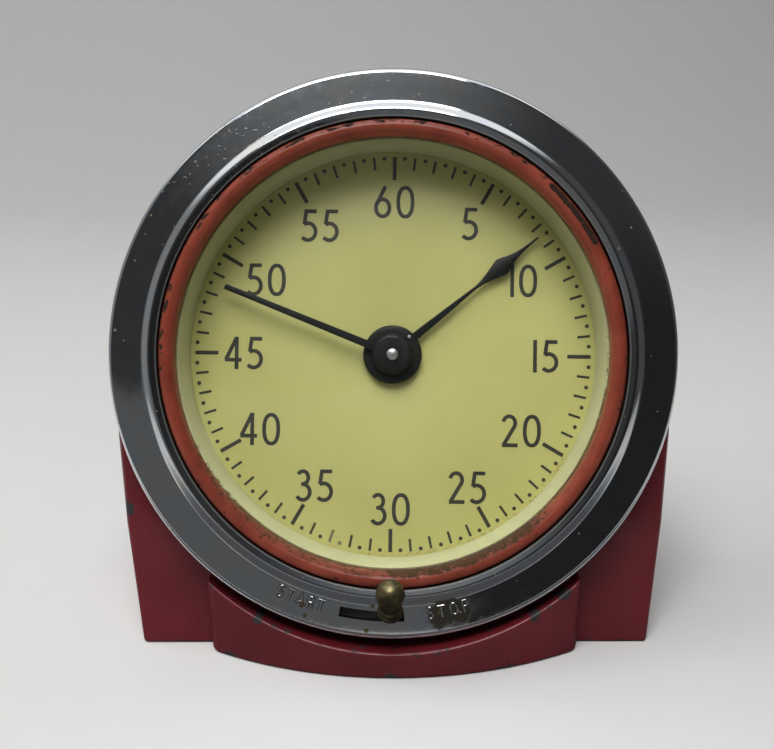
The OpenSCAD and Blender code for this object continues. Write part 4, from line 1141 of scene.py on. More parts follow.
class RepeatTree(NodeSheet):
    """A geometry tree that repeats one small shape, with named sizes in millimetres."""

    def __init__(self, name: str, sizes: Sizes, material: bpy.types.Material) -> None:
        """Starts the tree.

        Args:
            name: Name of the tree.
            sizes: Its inputs and their values.
            material: Material of the result.
        """
        tree = bpy.data.node_groups.new(name, "GeometryNodeTree")
        tree.interface.new_socket("Geometry", in_out="OUTPUT", socket_type="NodeSocketGeometry")
        super().__init__(tree)
        self.sizes = sizes
        self.material = material
        self.keys: dict[str, str] = {}
        for key, value in sizes.items():
            kind = "NodeSocketInt" if isinstance(value, int) else "NodeSocketFloat"
            self.keys[key] = tree.interface.new_socket(key, in_out="INPUT", socket_type=kind).identifier
        self.entry = self.add("NodeGroupInput")

    def size(self, key: str) -> Socket:
        """Socket of a named size."""
        return self.entry.outputs[key]

    def vector(self, x: Value = 0.0, y: Value = 0.0, z: Value = 0.0) -> Socket:
        """Vector from three numbers."""
        return self.add("ShaderNodeCombineXYZ", {0: x, 1: y, 2: z}).outputs[0]

    def moved(self, geometry: Socket, x: Value = 0.0, y: Value = 0.0, z: Value = 0.0) -> Socket:
        """Geometry at another place."""
        inputs = {"Geometry": geometry, "Translation": self.vector(x, y, z)}
        return self.add("GeometryNodeTransform", inputs).outputs[0]

    def cylinder(self, radius: Value, depth: Value, sides: int = 32) -> Socket:
        """Upright cylinder about the middle."""
        inputs = {"Vertices": sides, "Radius": radius, "Depth": depth}
        return self.add("GeometryNodeMeshCylinder", inputs).outputs["Mesh"]

    def block(self, x: Value, y: Value, z: Value) -> Socket:
        """Box about the middle."""
        return self.add("GeometryNodeMeshCube", {"Size": self.vector(x, y, z)}).outputs["Mesh"]

    def ring_points(self, count: Value, radius: Value) -> Socket:
        """Points round a circle."""
        return self.add("GeometryNodeMeshCircle", {"Vertices": count, "Radius": radius}).outputs[0]

    def grid_points(self, x: Value, y: Value) -> Socket:
        """Four points at the corners of a rectangle."""
        inputs = {"Size X": x, "Size Y": y, "Vertices X": 2, "Vertices Y": 2}
        return self.add("GeometryNodeMeshGrid", inputs).outputs[0]

    def outward(self) -> Socket:
        """Turn about z that points each instance away from the middle."""
        x, y, _ = self.parts(self.add("GeometryNodeInputPosition").outputs[0])
        return self.vector(z=self.calc("ARCTAN2", y, x))

    def result(self, points: Socket, shape: Socket, turn: Socket, skip: int = 0) -> Shape:
        """Puts the shape on the points and turns the tree's result into a mesh.

        Args:
            points: Where the shape goes.
            shape: The shape.
            turn: Rotation of each instance.
            skip: Leaves out every point whose number is a multiple of this, if it isn't 0.

        Returns:
            The mesh, in millimetres.
        """
        inputs = {"Points": points, "Instance": shape, "Rotation": turn}
        if skip:
            number = self.add("GeometryNodeInputIndex").outputs[0]
            inputs["Selection"] = self.calc("GREATER_THAN", self.calc("MODULO", number, float(skip)), 0.5)
        spread = self.add("GeometryNodeInstanceOnPoints", inputs).outputs[0]
        real = self.add("GeometryNodeRealizeInstances", {"Geometry": spread}).outputs[0]
        dressed = self.add("GeometryNodeSetMaterial", {"Geometry": real, "Material": self.material})
        self.add("NodeGroupOutput", {0: dressed.outputs[0]})
        holder = in_scene(self.tree.name, bpy.data.meshes.new(self.tree.name))
        modifier = holder.modifiers.new("repeat", "NODES")
        modifier.node_group = self.tree
        for key, identifier in self.keys.items():
            modifier[identifier] = self.sizes[key]
        made = taken_over(evaluated(holder))
        holder.modifiers.remove(modifier)
        bpy.data.objects.remove(holder)
        return made


@dataclass(frozen=True)
class SlottedScrew:
    """A round-headed screw with a driver slot, repeated on points.

    Attributes:
        head_r: Radius of the head.
        head_h: Height of the head above its seat.
        shank_r: Radius of the shank.
        shank: Length of the shank below the seat.
        slot_w: Width of the driver slot.
        slot_deep: Depth of the driver slot.
    """

    CROWN_WIDE = 0.72
    CROWN_HIGH = 0.45
    SKIRT_HIGH = 0.55
    SLOT_LONG = 2.4
    SLOT_RISE = 0.4

    head_r: float
    head_h: float
    shank_r: float
    shank: float
    slot_w: float = 0.5
    slot_deep: float = 0.5

    def tree(self, name: str, material: bpy.types.Material, places: Sizes) -> RepeatTree:
        """Starts a tree with the screw's sizes and those of its places."""
        sizes = {"Head Radius": self.head_r, "Head Height": self.head_h, "Shank Radius": self.shank_r}
        sizes |= {"Shank": self.shank, "Slot Width": self.slot_w, "Slot Depth": self.slot_deep}
        return RepeatTree(name, sizes | places, material)

    @classmethod
    def shape(cls, tree: RepeatTree) -> Socket:
        """One screw with its seat at height 0 and its head above it."""
        radius, height = tree.size("Head Radius"), tree.size("Head Height")
        crown_r = tree.times(radius, cls.CROWN_WIDE)
        lower = tree.times(height, cls.SKIRT_HIGH)
        rest = tree.times(height, cls.CROWN_HIGH)
        cone_inputs = {"Vertices": 32, "Radius Top": crown_r, "Radius Bottom": radius, "Depth": rest}
        crown = tree.moved(tree.add("GeometryNodeMeshCone", cone_inputs).outputs["Mesh"], z=lower)
        skirt = tree.moved(tree.cylinder(radius, lower), z=tree.times(lower, 0.5))
        shank = tree.moved(
            tree.cylinder(tree.size("Shank Radius"), tree.size("Shank"), 20),
            z=tree.times(tree.size("Shank"), -0.5),
        )
        deep = tree.size("Slot Depth")
        bar = tree.block(tree.times(radius, cls.SLOT_LONG), tree.size("Slot Width"), deep)
        cutter = tree.moved(bar, z=tree.calc("SUBTRACT", height, tree.times(deep, cls.SLOT_RISE)))
        solid = tree.add("GeometryNodeMeshBoolean", operation="UNION", solver="EXACT")
        for part in (crown, skirt, shank):
            tree.feed(solid.inputs["Mesh 2"], part)
        inputs = {"Mesh 1": solid.outputs[0], "Mesh 2": cutter}
        cut = tree.add("GeometryNodeMeshBoolean", inputs, operation="DIFFERENCE", solver="EXACT")
        return cut.outputs[0]


# Figures and letters


class Glyphs:
    """Centre lines of figures and letters in a box that is 1 high.

    Each glyph is a list of (points, closed) lines and the width it takes up.
    """

    HALF = 0.055
    OVAL_STEPS = 40
    SQUARENESS = 0.88
    WIDTHS = {"0": 0.55, "1": 0.11, "2": 0.50, "3": 0.47, "4": 0.52, "5": 0.50, "6": 0.53}
    WIDTHS |= {"S": 0.50, "T": 0.56, "A": 0.68, "R": 0.54, "O": 0.66, "P": 0.52}

    @classmethod
    def oval(cls, width: float) -> list[Point]:
        """Squarish oval of a width, as tall as the box."""
        made = []
        for i in range(cls.OVAL_STEPS):
            a = TURN * i / cls.OVAL_STEPS
            c, s = math.cos(a), math.sin(a)
            x = width / 2 + (width / 2 - cls.HALF) * math.copysign(abs(c) ** cls.SQUARENESS, c)
            made.append((x, 0.5 + (0.5 - cls.HALF) * math.copysign(abs(s) ** cls.SQUARENESS, s)))
        return made

    @classmethod
    def lines(cls, sign: str) -> list[tuple[list[Point], bool]]:
        """Centre lines of one sign."""
        half = cls.HALF
        top = 1.0 - half
        width = cls.WIDTHS[sign]
        if sign in "0O":
            return [(cls.oval(width), True)]
        if sign == "1":
            return [([(half, 0.0), (half, 1.0)], False)]
        if sign == "2":
            bow = arc((0.235, 0.735), (0.185, 0.21), 168.0, -38.0, 18)
            return [(bow + [(0.06, half)], False), ([(0.02, half), (width, half)], False)]
        if sign == "3":
            upper = arc((0.195, 0.745), (0.165, 0.2), 150.0, -82.0, 18)
            lower = arc((0.195, 0.297), (0.215, 0.242), 84.0, -148.0, 20)
            return [(upper, False), (lower, False), ([(0.14, 0.543), (0.24, 0.543)], False)]
        if sign == "4":
            slope = [(0.365, 0.985), (0.03, 0.29)]
            bar = [(0.0, 0.29), (width, 0.29)]
            return [([(0.365, 0.0), (0.365, 1.0)], False), (slope, False), (bar, False)]
        if sign == "5":
            stem = [(0.47, top), (0.15, top), (0.095, 0.545)]
            return [(stem, False), (arc((0.21, 0.315), (0.235, 0.26), 122.0, -138.0, 22), False)]
        if sign == "6":
            bowl = arc((0.265, 0.32), (0.21, 0.265), 0.0, 342.0, 19)
            return [(bowl, True), ([(0.345, 0.985), (0.085, 0.44)], False)]
        if sign == "S":
            upper = arc((0.25, 0.735), (0.185, 0.21), 30.0, 265.0, 14)
            lower = arc((0.25, 0.275), (0.195, 0.22), 85.0, -150.0, 14)
            return [(upper + lower, False)]
        if sign == "T":
            return [([(0.0, top), (width, top)], False), ([(width / 2, 0.0), (width / 2, top)], False)]
        if sign == "A":
            bar = [(0.15, 0.30), (width - 0.15, 0.30)]
            return [([(0.03, 0.0), (width / 2, 0.98), (width - 0.03, 0.0)], False), (bar, False)]
        bow = arc((0.26, 0.72), (0.2, 0.225), 90.0, -90.0, 10)
        bowl = [(half, top), (0.26, top)] + bow + [(half, 0.495)]
        made = [([(half, 0.0), (half, 1.0)], False), (bowl, False)]
        if sign == "R":
            made.append(([(0.27, 0.495), (width - 0.03, 0.0)], False))
        return made


@dataclass(frozen=True)
class Figures:
    """Printed or raised words made of drawn lines.

    Attributes:
        height: Height of a sign.
        gap: Space between two signs.
        stroke: The line they are drawn with.
    """

    height: float
    gap: float
    stroke: Stroke

    def width(self, word: str) -> float:
        """Width of a word."""
        return sum(Glyphs.WIDTHS[c] for c in word) * self.height + self.gap * (len(word) - 1)

    def sign(self, sign: str) -> Shape:
        """One sign with its lower left corner at the origin."""
        drawn = []
        for k, (path, closed) in enumerate(Glyphs.lines(sign)):
            # Lines that cross differ a little in height, so that no two faces lie in one plane.
            line = replace(self.stroke, high=self.stroke.high + Stroke.LAYER * k)
            drawn.append(line.draw([(x * self.height, y * self.height) for x, y in path], closed))
        return joined(drawn)

    def straight(self, word: str) -> Shape:
        """A word on a straight line, with its middle at the origin."""
        made = []
        x = -self.width(word) / 2
        for c in word:
            made.append(placed(self.sign(c), Matrix.Translation((x, -self.height / 2, 0.0))))
            x += Glyphs.WIDTHS[c] * self.height + self.gap
        return joined(made)

    def round_below(self, word: str, radius: float, middle: float) -> Shape:
        """A word on a circle below its centre, with its tops towards the centre.

        Args:
            word: The word.
            radius: Radius at half of the signs' height.
            middle: Angle of the word's middle in degrees.

        Returns:
            The mesh, about the circle's centre.
        """
        made = []
        along = -self.width(word) / 2
        for c in word:
            wide = Glyphs.WIDTHS[c] * self.height
            angle = math.radians(middle) + (along + wide / 2) / radius
            corner = Matrix.Translation((-wide / 2, -radius - self.height / 2, 0.0))
            made.append(placed(self.sign(c), Matrix.Rotation(angle + math.pi / 2, 4, "Z") @ corner))
            along += wide + self.gap
        return joined(made)


def dial_angle(minutes: float) -> float:
    """Angle in degrees, from the right and upwards, of a place on a dial of 60 minutes."""
    return 90.0 - MINUTE_DEGREES * minutes


def flowing(points: Sequence[Point], steps: int = 6) -> list[Point]:
    """Smooth open line through some points.

    Args:
        points: Points that the line passes.
        steps: Number of chords from each point to the next.

    Returns:
        The points of the smooth line.
    """
    made: list[Point] = []
    last = len(points) - 1
    for i in range(last):
        before, here = Vector(points[max(i - 1, 0)]), Vector(points[i])
        ahead, after = Vector(points[i + 1]), Vector(points[min(i + 2, last)])
        for k in range(steps):
            t = k / steps
            bend = (2 * before - 5 * here + 4 * ahead - after) * t * t
            turn = (3 * here - before - 3 * ahead + after) * t**3
            made.append(tuple((2 * here + (ahead - before) * t + bend + turn) / 2))
    return made + [tuple(points[last])]


# Sub-assemblies


@dataclass
class CaseShell:
    """Red case with its base plate, back cover and their screws."""

    finishes: Finishes
    case_edge: float = 0.9
    case_smooth: float = 50.0
    plate_edge: float = 0.35
    sole_z: float = 0.1
    base_top: float = 2.6
    front_z: float = -8.0
    rear_z: float = -44.0
    rear_r: float = 50.0
    base_half: Point = (53.0, 41.5)
    nose_y: float = -9.0
    bore_r: float = 61.0
    drum_r: float = 58.2
    cover_y: float = 8.0
    cover_ring_r: float = 38.0
    back_z: float = -46.5
    base_middle_y: float = 16.25
    base_spread: Point = (90.0, 34.5)
    base_seat: float = 1.2
    cover_screw: SlottedScrew = SlottedScrew(1.7, 1.0, 0.88, 2.6)
    base_screw: SlottedScrew = SlottedScrew(2.25, 1.0, 1.1, 4.0, 0.6)

    def build(self) -> None:
        """Builds every piece."""
        red, black = self.finishes[Slot.RED_ENAMEL], self.finishes[Slot.BASE_BLACK]
        shell = Piece("case_body", Body.CASE, Slot.RED_ENAMEL, red, ("case_shell",), self.case_smooth, True)
        shell.add_rounded(self.case_edge, self.outside)
        cover = Piece("case_back_cover", Body.CASE, Slot.RED_ENAMEL, red, ("back_cover",), even=True)
        cover.add_rounded(self.plate_edge)
        base = Piece("case_base_plate", Body.CASE, Slot.BASE_BLACK, black, ("base_plate",), even=True)
        base.add_rounded(self.plate_edge)
        self.screws()

    def outside(self, middle: Vector) -> bool:
        """Says of an edge's middle, in metres, whether it is on the outside of the case."""
        face = FACE.matrix.inverted() @ middle
        x, y, z = middle / MM
        radius = math.hypot(face.x, face.y)
        if z < self.base_top:
            beside = abs(x) > self.base_half[0] or y > self.base_half[1] or y < self.nose_y
            return z < self.sole_z and beside
        if face.z > self.front_z:
            return radius > self.bore_r
        if face.z < self.rear_z:
            return radius > self.rear_r
        return radius > self.drum_r

    def screws(self) -> None:
        """Builds the cover's screws and the base's screws."""
        steel = self.finishes[Slot.STEEL]
        sizes = {"Count": 4, "Ring Radius": self.cover_ring_r}
        tree = self.cover_screw.tree("cover_screw_ring", steel, sizes)
        points = tree.ring_points(tree.size("Count"), tree.size("Ring Radius"))
        ring = tree.result(points, self.cover_screw.shape(tree), tree.outward())
        seat = FACE.behind(0.0, self.cover_y, self.back_z) @ Matrix.Rotation(math.pi / 4, 4, "Z")
        Piece("back_cover_screws", Body.CASE, Slot.STEEL, steel, ("cover_screws",)).add(ring, seat)
        sizes = {"Spread X": self.base_spread[0], "Spread Y": self.base_spread[1]}
        tree = self.base_screw.tree("base_screw_grid", steel, sizes)
        points = tree.grid_points(tree.size("Spread X"), tree.size("Spread Y"))
        grid = tree.result(points, self.base_screw.shape(tree), tree.outward())
        over = Matrix.Rotation(math.pi, 4, "X")
        under = WORLD_MM @ (Matrix.Translation((0.0, self.base_middle_y, self.base_seat)) @ over)
        Piece("base_plate_screws", Body.CASE, Slot.STEEL, steel, ("base_screws",)).add(grid, under)


@dataclass
class Bezel:
    """Chromed bezel with its rolled rim, ridge, lever slot, raised words and painted shade round them."""

    finishes: Finishes
    inner_r: float = 49.5
    inner_low: float = -6.0
    wall: float = 1.2
    ridge: tuple[Point, ...] = (
        (49.5, 0.34), (49.6, 0.39), (50.0, 0.52), (50.4, 0.65), (50.75, 0.75), (51.0, 0.78), (51.35, 0.73),
        (52.0, 0.43), (52.5, 0.15), (52.9, 0.01)
    )
    band_top: float = 0.0
    band_at: Point = (53.2, 56.0)
    rim_r: float = 58.9
    rim_round: float = 1.1
    skirt_low: float = -7.0
    slot_r: float = 55.2
    slot_half: float = 1.05
    slot_from: float = -101.9
    slot_to: float = -87.7
    slot_cut: Point = (-4.0, 3.0)
    word_r: float = 55.0
    word_h: float = 2.6
    start_at: float = -110.75
    stop_at: float = -77.95
    start_gap: float = 0.72
    stop_gap: float = 1.05
    letter: Stroke = Stroke(0.44, -0.05, 0.17, True)
    # Dark ink line round each raised letter: painted shade.
    dirt: Stroke = Stroke(0.72, -0.05, 0.015)
    steps: int = 320

    def profile(self) -> list[Point]:
        """Cross section of the ring."""
        rim = arc((self.rim_r, self.band_top - self.rim_round), (self.rim_round,) * 2, 90.0, 0.0, 10)
        outer_r = self.rim_r + self.rim_round
        band = [(radius, self.band_top) for radius in self.band_at]
        under, skirt_r, lip_r = self.band_top - self.wall, outer_r - self.wall, self.inner_r + self.wall
        inside = [(outer_r, self.skirt_low), (skirt_r, self.skirt_low), (skirt_r, under)]
        inside += [(lip_r, under), (lip_r, self.inner_low), (self.inner_r, self.inner_low)]
        return flowing(self.ridge, 4) + band + rim + inside

    def slot_tool(self) -> Shape:
        """Curved block that cuts the lever's slot."""
        outer = arc((0.0, 0.0), (self.slot_r + self.slot_half,) * 2, self.slot_from, self.slot_to, 24)
        inner = arc((0.0, 0.0), (self.slot_r - self.slot_half,) * 2, self.slot_to, self.slot_from, 24)
        return slab(outer + inner, *self.slot_cut)

    def build(self) -> None:
        """Builds the ring and its words."""
        chrome = self.finishes[Slot.CHROME]
        ring = cut_away(lathe(self.profile(), self.steps), self.slot_tool())
        Piece("chrome_bezel", Body.CASE, Slot.CHROME, chrome, ("bezel",), 32.0).add(ring, FACE.matrix)
        Piece("bezel_words", Body.CASE, Slot.CHROME, chrome).add(self.words(self.letter), FACE.matrix)
        # Painted shade: dark ink lines under and round the raised words stand in for their shadows.
        dirt = Piece("painted_shade_round_words", Body.CASE, Slot.CHROME, self.finishes.ink)
        dirt.add(self.words(self.dirt), FACE.matrix)

    def words(self, line: Stroke) -> Shape:
        """Both words, drawn with one kind of line."""
        words = (("START", self.start_gap, self.start_at), ("STOP", self.stop_gap, self.stop_at))
        drawn = (Figures(self.word_h, gap, line).round_below(word, self.word_r, at) for word, gap, at in words)
        return joined(drawn)


@dataclass
class DialFace:
    """Printed dial, the wall round it, the glass and the red ring that holds it."""

    finishes: Finishes
    dial_r: float = 49.1
    dial_hole_r: float = 3.2
    dial_low: float = -13.8
    dial_top: float = -13.0
    dial_edge: float = 0.12
    wall_edge: float = 0.2
    wall: tuple[Point, ...] = ((45.2, -13.0), (49.1, -13.0), (49.1, -4.0), (45.9, -4.0))
    glass_r: float = 49.1
    glass_low: float = -4.0
    glass_top: float = -2.4
    ring_low: float = -2.4
    ring_middle: Point = (47.65, -0.7)
    ring_round: Point = (1.62, 1.9)
    ink: float = 0.04
    print_turn: float = -1.0
    tick_end_r: float = 44.2
    long_tick: Point = (5.2, 0.85)
    short_tick: Point = (2.8, 0.55)
    dot_r: float = 0.45
    dot_ring_r: float = 43.8
    figure_rings: tuple[float, ...] = (
        33.9, 33.6, 34.2, 33.4, 34.1, 34.6, 34.1, 34.0, 33.3, 32.9, 33.1, 34.1
    )
    figure_h: float = 7.25
    figure_gap: float = 1.15
    figure_line: float = 0.86

    def build(self) -> None:
        """Builds every piece."""
        low = [(radius, self.dial_low) for radius in (self.dial_hole_r, self.dial_r)]
        top = [(radius, self.dial_top) for radius in (self.dial_r, self.dial_hole_r)]
        pieces = (
            ("dial_plate", Slot.DIAL, "dial", fillet(low + top, self.dial_edge, 2)),
            ("dial_wall", Slot.WALL, "dial_spacer_ring", fillet(self.wall, self.wall_edge, 3)),
            ("red_glass_ring", Slot.RING_ENAMEL, "glass_ring", self.ring_profile()),
        )
        for name, slot, node, profile in pieces:
            Piece(name, Body.CASE, slot, self.finishes[slot], (node,)).add(lathe(profile), FACE.matrix)
        pane = [(0.0, self.glass_low), (self.glass_r, self.glass_low)]
        pane += [(self.glass_r, self.glass_top), (0.0, self.glass_top)]
        clear = self.finishes[Slot.GLASS]
        glass = Piece("face_glass", Body.CASE, Slot.GLASS, clear, ("glass",)).add(lathe(pane), FACE.matrix)
        # Light passes the pane, so it casts no shadow on the dial.
        glass.visible_shadow = False
        self.marks()

    def ring_profile(self) -> list[Point]:
        """Cross section of the red ring: straight sides and a round back."""
        back = arc(self.ring_middle, self.ring_round, 180.0, 0.0, 24)
        return [(back[0][0], self.ring_low)] + back + [(back[-1][0], self.ring_low)]

    def ticks(self, name: str, count: int, size: Point, skip: int) -> Shape:
        """Ring of printed bars.

        Args:
            name: Name of the tree.
            count: Number of places round the dial.
            size: Length and width of a bar.
            skip: Leaves out every place whose number is a multiple of this, if it isn't 0.

        Returns:
            The bars, about the dial's centre.
        """
        length, width = size
        sizes = {"Count": count, "Ring Radius": self.tick_end_r - length / 2}
        sizes |= {"Length": length, "Width": width, "Ink": 2 * self.ink}
        tree = RepeatTree(name, sizes, self.finishes.ink)
        bar = tree.block(tree.size("Length"), tree.size("Width"), tree.size("Ink"))
        points = tree.ring_points(tree.size("Count"), tree.size("Ring Radius"))
        return tree.result(points, bar, tree.outward(), skip)

    def dots(self) -> Shape:
        """Ring of printed dots on the half minutes."""
        sizes = {"Count": 60, "Ring Radius": self.dot_ring_r, "Dot Radius": self.dot_r, "Ink": 2 * self.ink}
        tree = RepeatTree("half_minute_dots", sizes, self.finishes.ink)
        dot = tree.cylinder(tree.size("Dot Radius"), tree.size("Ink"), 12)
        points = tree.ring_points(tree.size("Count"), tree.size("Ring Radius"))
        half_minute = Matrix.Rotation(math.radians(MINUTE_DEGREES / 2), 4, "Z")
        return placed(tree.result(points, dot, tree.outward()), half_minute)

    def marks(self) -> None:
        """Builds the printed marks: bars, dots and figures."""
        figures = Figures(self.figure_h, self.figure_gap, Stroke(self.figure_line, -self.ink, self.ink))
        printed = [self.ticks("minute_ticks", 60, self.short_tick, 5)]
        printed += [self.ticks("five_minute_ticks", 12, self.long_tick, 0), self.dots()]
        for minutes, ring_r in zip(range(5, 65, 5), self.figure_rings):
            angle = math.radians(dial_angle(minutes))
            spot = Matrix.Translation((ring_r * math.cos(angle), ring_r * math.sin(angle), 0.0))
            printed.append(placed(figures.straight(str(minutes)), spot))
        seat = FACE.at(0.0, 0.0, self.dial_top) @ Matrix.Rotation(math.radians(self.print_turn), 4, "Z")
        Piece("dial_print", Body.CASE, Slot.BLACK, self.finishes.ink).add(joined(printed), seat)


@dataclass
class Hands:
    """Arrow hand, sweep hand and the bright end of their arbor."""

    finishes: Finishes
    arrow_minute: float = 8.6
    sweep_second: float = 48.75
    blade_half: float = 0.25
    blade_edge: float = 0.09
    hub_edge: float = 0.15
    arrow_z: float = -11.45
    arrow_hub: tuple[Point, ...] = (
        (2.25, -12.6), (6.3, -12.6), (6.5, -12.4), (6.5, -11.3), (6.1, -10.9), (2.25, -10.8)
    )
    arrow_line: tuple[Point, ...] = (
        (0.0, 0.95), (8.0, 0.86), (16.0, 0.63), (21.0, 0.43), (23.9, 0.34), (25.4, 0.50),
        (27.0, 0.86), (28.6, 1.30), (31.0, 2.0), (32.3, 1.62), (33.2, 1.24), (34.2, 0.92),
        (35.5, 0.62), (37.3, 0.38), (39.5, 0.28), (41.4, 0.20)
    )
    sweep_z: float = -9.25
    sweep_hub: tuple[Point, ...] = (
        (1.05, -10.4), (4.2, -10.4), (4.4, -10.2), (4.4, -9.2), (3.9, -8.75), (1.05, -8.6)
    )
    sweep_line: tuple[Point, ...] = ((0.0, 0.90), (38.9, 0.62), (39.8, 0.58))
    cap: tuple[Point, ...] = (
        (0.0, -8.7), (1.35, -8.7), (1.35, -8.3), (1.15, -7.98), (0.65, -7.8), (0.0, -7.75)
    )
    rivet_at: Point = (5.4, 46.0)
    rivet: tuple[Point, ...] = ((0.0, -11.2), (0.36, -11.2), (0.36, -10.72), (0.22, -10.6), (0.0, -10.58))

    def blade(self, line: Sequence[Point], middle: float, angle: float) -> Shape:
        """Thin flat blade with rounded upper edges.

        Args:
            line: Distance from the centre and half width of each station.
            middle: Height of the blade's middle.
            angle: Its direction in degrees.

        Returns:
            The mesh, about the dial's centre.
        """
        outline = [(x, -y) for x, y in line] + [(x, y) for x, y in reversed(line)]
        made = slab(outline, middle - self.blade_half, middle + self.blade_half, self.blade_edge)
        return placed(made, Matrix.Rotation(math.radians(angle), 4, "Z"))

    def build(self) -> None:
        """Builds every piece."""
        black, steel = self.finishes[Slot.BLACK], self.finishes[Slot.STEEL]
        arrow = self.blade(self.arrow_line, self.arrow_z, dial_angle(self.arrow_minute))
        sweep = self.blade(self.sweep_line, self.sweep_z, dial_angle(self.sweep_second))
        hands = (
            ("arrow_hand", Body.MINUTE, "minute_hand", arrow, self.arrow_hub),
            ("long_sweep_hand", Body.SECONDS, "sweep_hand", sweep, self.sweep_hub),
        )
        for name, body, node, blade, hub in hands:
            shape = joined([blade, lathe(fillet(hub, self.hub_edge, 3), 96)])
            Piece(name, body, Slot.BLACK, black, (node,)).add(shape, FACE.matrix)
        Piece("centre_cap", Body.SECONDS, Slot.STEEL, steel).add(lathe(self.cap, 40), FACE.matrix)
        reach, angle = self.rivet_at[0], math.radians(self.rivet_at[1])
        seat = FACE.at(reach * math.cos(angle), reach * math.sin(angle), 0.0)
        Piece("arrow_rivet", Body.MINUTE, Slot.STEEL, steel).add(lathe(self.rivet, 20), seat)


@dataclass
class LeverKnob:
    """Turned brass knob on the start and stop lever."""

    finishes: Finishes
    lever_angle: float = -90.7
    slot_r: float = 55.2
    pin_z: float = 2.525
    lean: float = 50.0
    pin_free: float = 2.5
    foot: tuple[Point, ...] = (
        (0.0, 0.0), (2.35, 0.0), (2.68, 0.22), (2.68, 0.85), (2.42, 1.12), (2.2, 1.25),
        (2.2, 1.42), (2.5, 1.62), (2.58, 1.85), (2.5, 2.1), (2.2, 2.3)
    )
    neck: tuple[Point, ...] = ((2.2, 2.3), (2.14, 2.9), (2.2, 3.5), (2.42, 4.2))
    ball_middle: float = 6.4
    ball_r: float = 2.95

    def build(self) -> None:
        """Builds the knob."""
        ball = arc((0.0, self.ball_middle), (self.ball_r, self.ball_r), -40.0, 90.0, 20)
        top = (0.0, self.ball_middle + self.ball_r)
        profile = [*self.foot, *flowing(self.neck, 3)[1:], *ball[:-1], top]
        seat = Matrix.Rotation(math.radians(self.lever_angle), 4, "Z")
        seat = seat @ Matrix.Translation((self.slot_r, 0.0, self.pin_z))
        seat = seat @ Matrix.Rotation(math.radians(-self.lean), 4, "Y")
        seat = seat @ Matrix.Translation((0.0, 0.0, self.pin_free))
        brass = self.finishes[Slot.AGED_BRASS]
        knob = Piece("brass_lever_knob", Body.LEVER, Slot.AGED_BRASS, brass, ("lever_knob",))
        knob.add(lathe(profile, 72), FACE.matrix @ seat)


@dataclass
class BackControls:
    """Winding key and setting knob on the back."""

    finishes: Finishes
    key_edge: float = 0.45
    knob_edge: float = 0.2

    def build(self) -> None:
        """Builds both."""
        controls = (
            ("wing_key", Body.WINDING, Slot.STEEL, "winding_key", self.key_edge),
            ("hand_setting_knob", Body.SETTING, Slot.AGED_BRASS, "set_knob", self.knob_edge),
        )
        for name, body, slot, node, edge in controls:
            Piece(name, body, slot, self.finishes[slot], (node,), even=True).add_rounded(edge)


@dataclass
class Movement:
    """The clockwork inside, whose solids keep their shape and get their finishes."""

    finishes: Finishes

    def build(self) -> None:
        """Gives each solid that stays the finish of its slot."""
        for row in frame["record"]["subparts"]:
            solid = frame["nodes"][row["node"]]
            if solid.hide_render:
                continue
            solid.data.materials.clear()
            solid.data.materials.append(self.finishes[Slot(row["material_slot"])])
            LOG.info("%s keeps its solid, in %s", row["node"], row["material_slot"])


# Studio


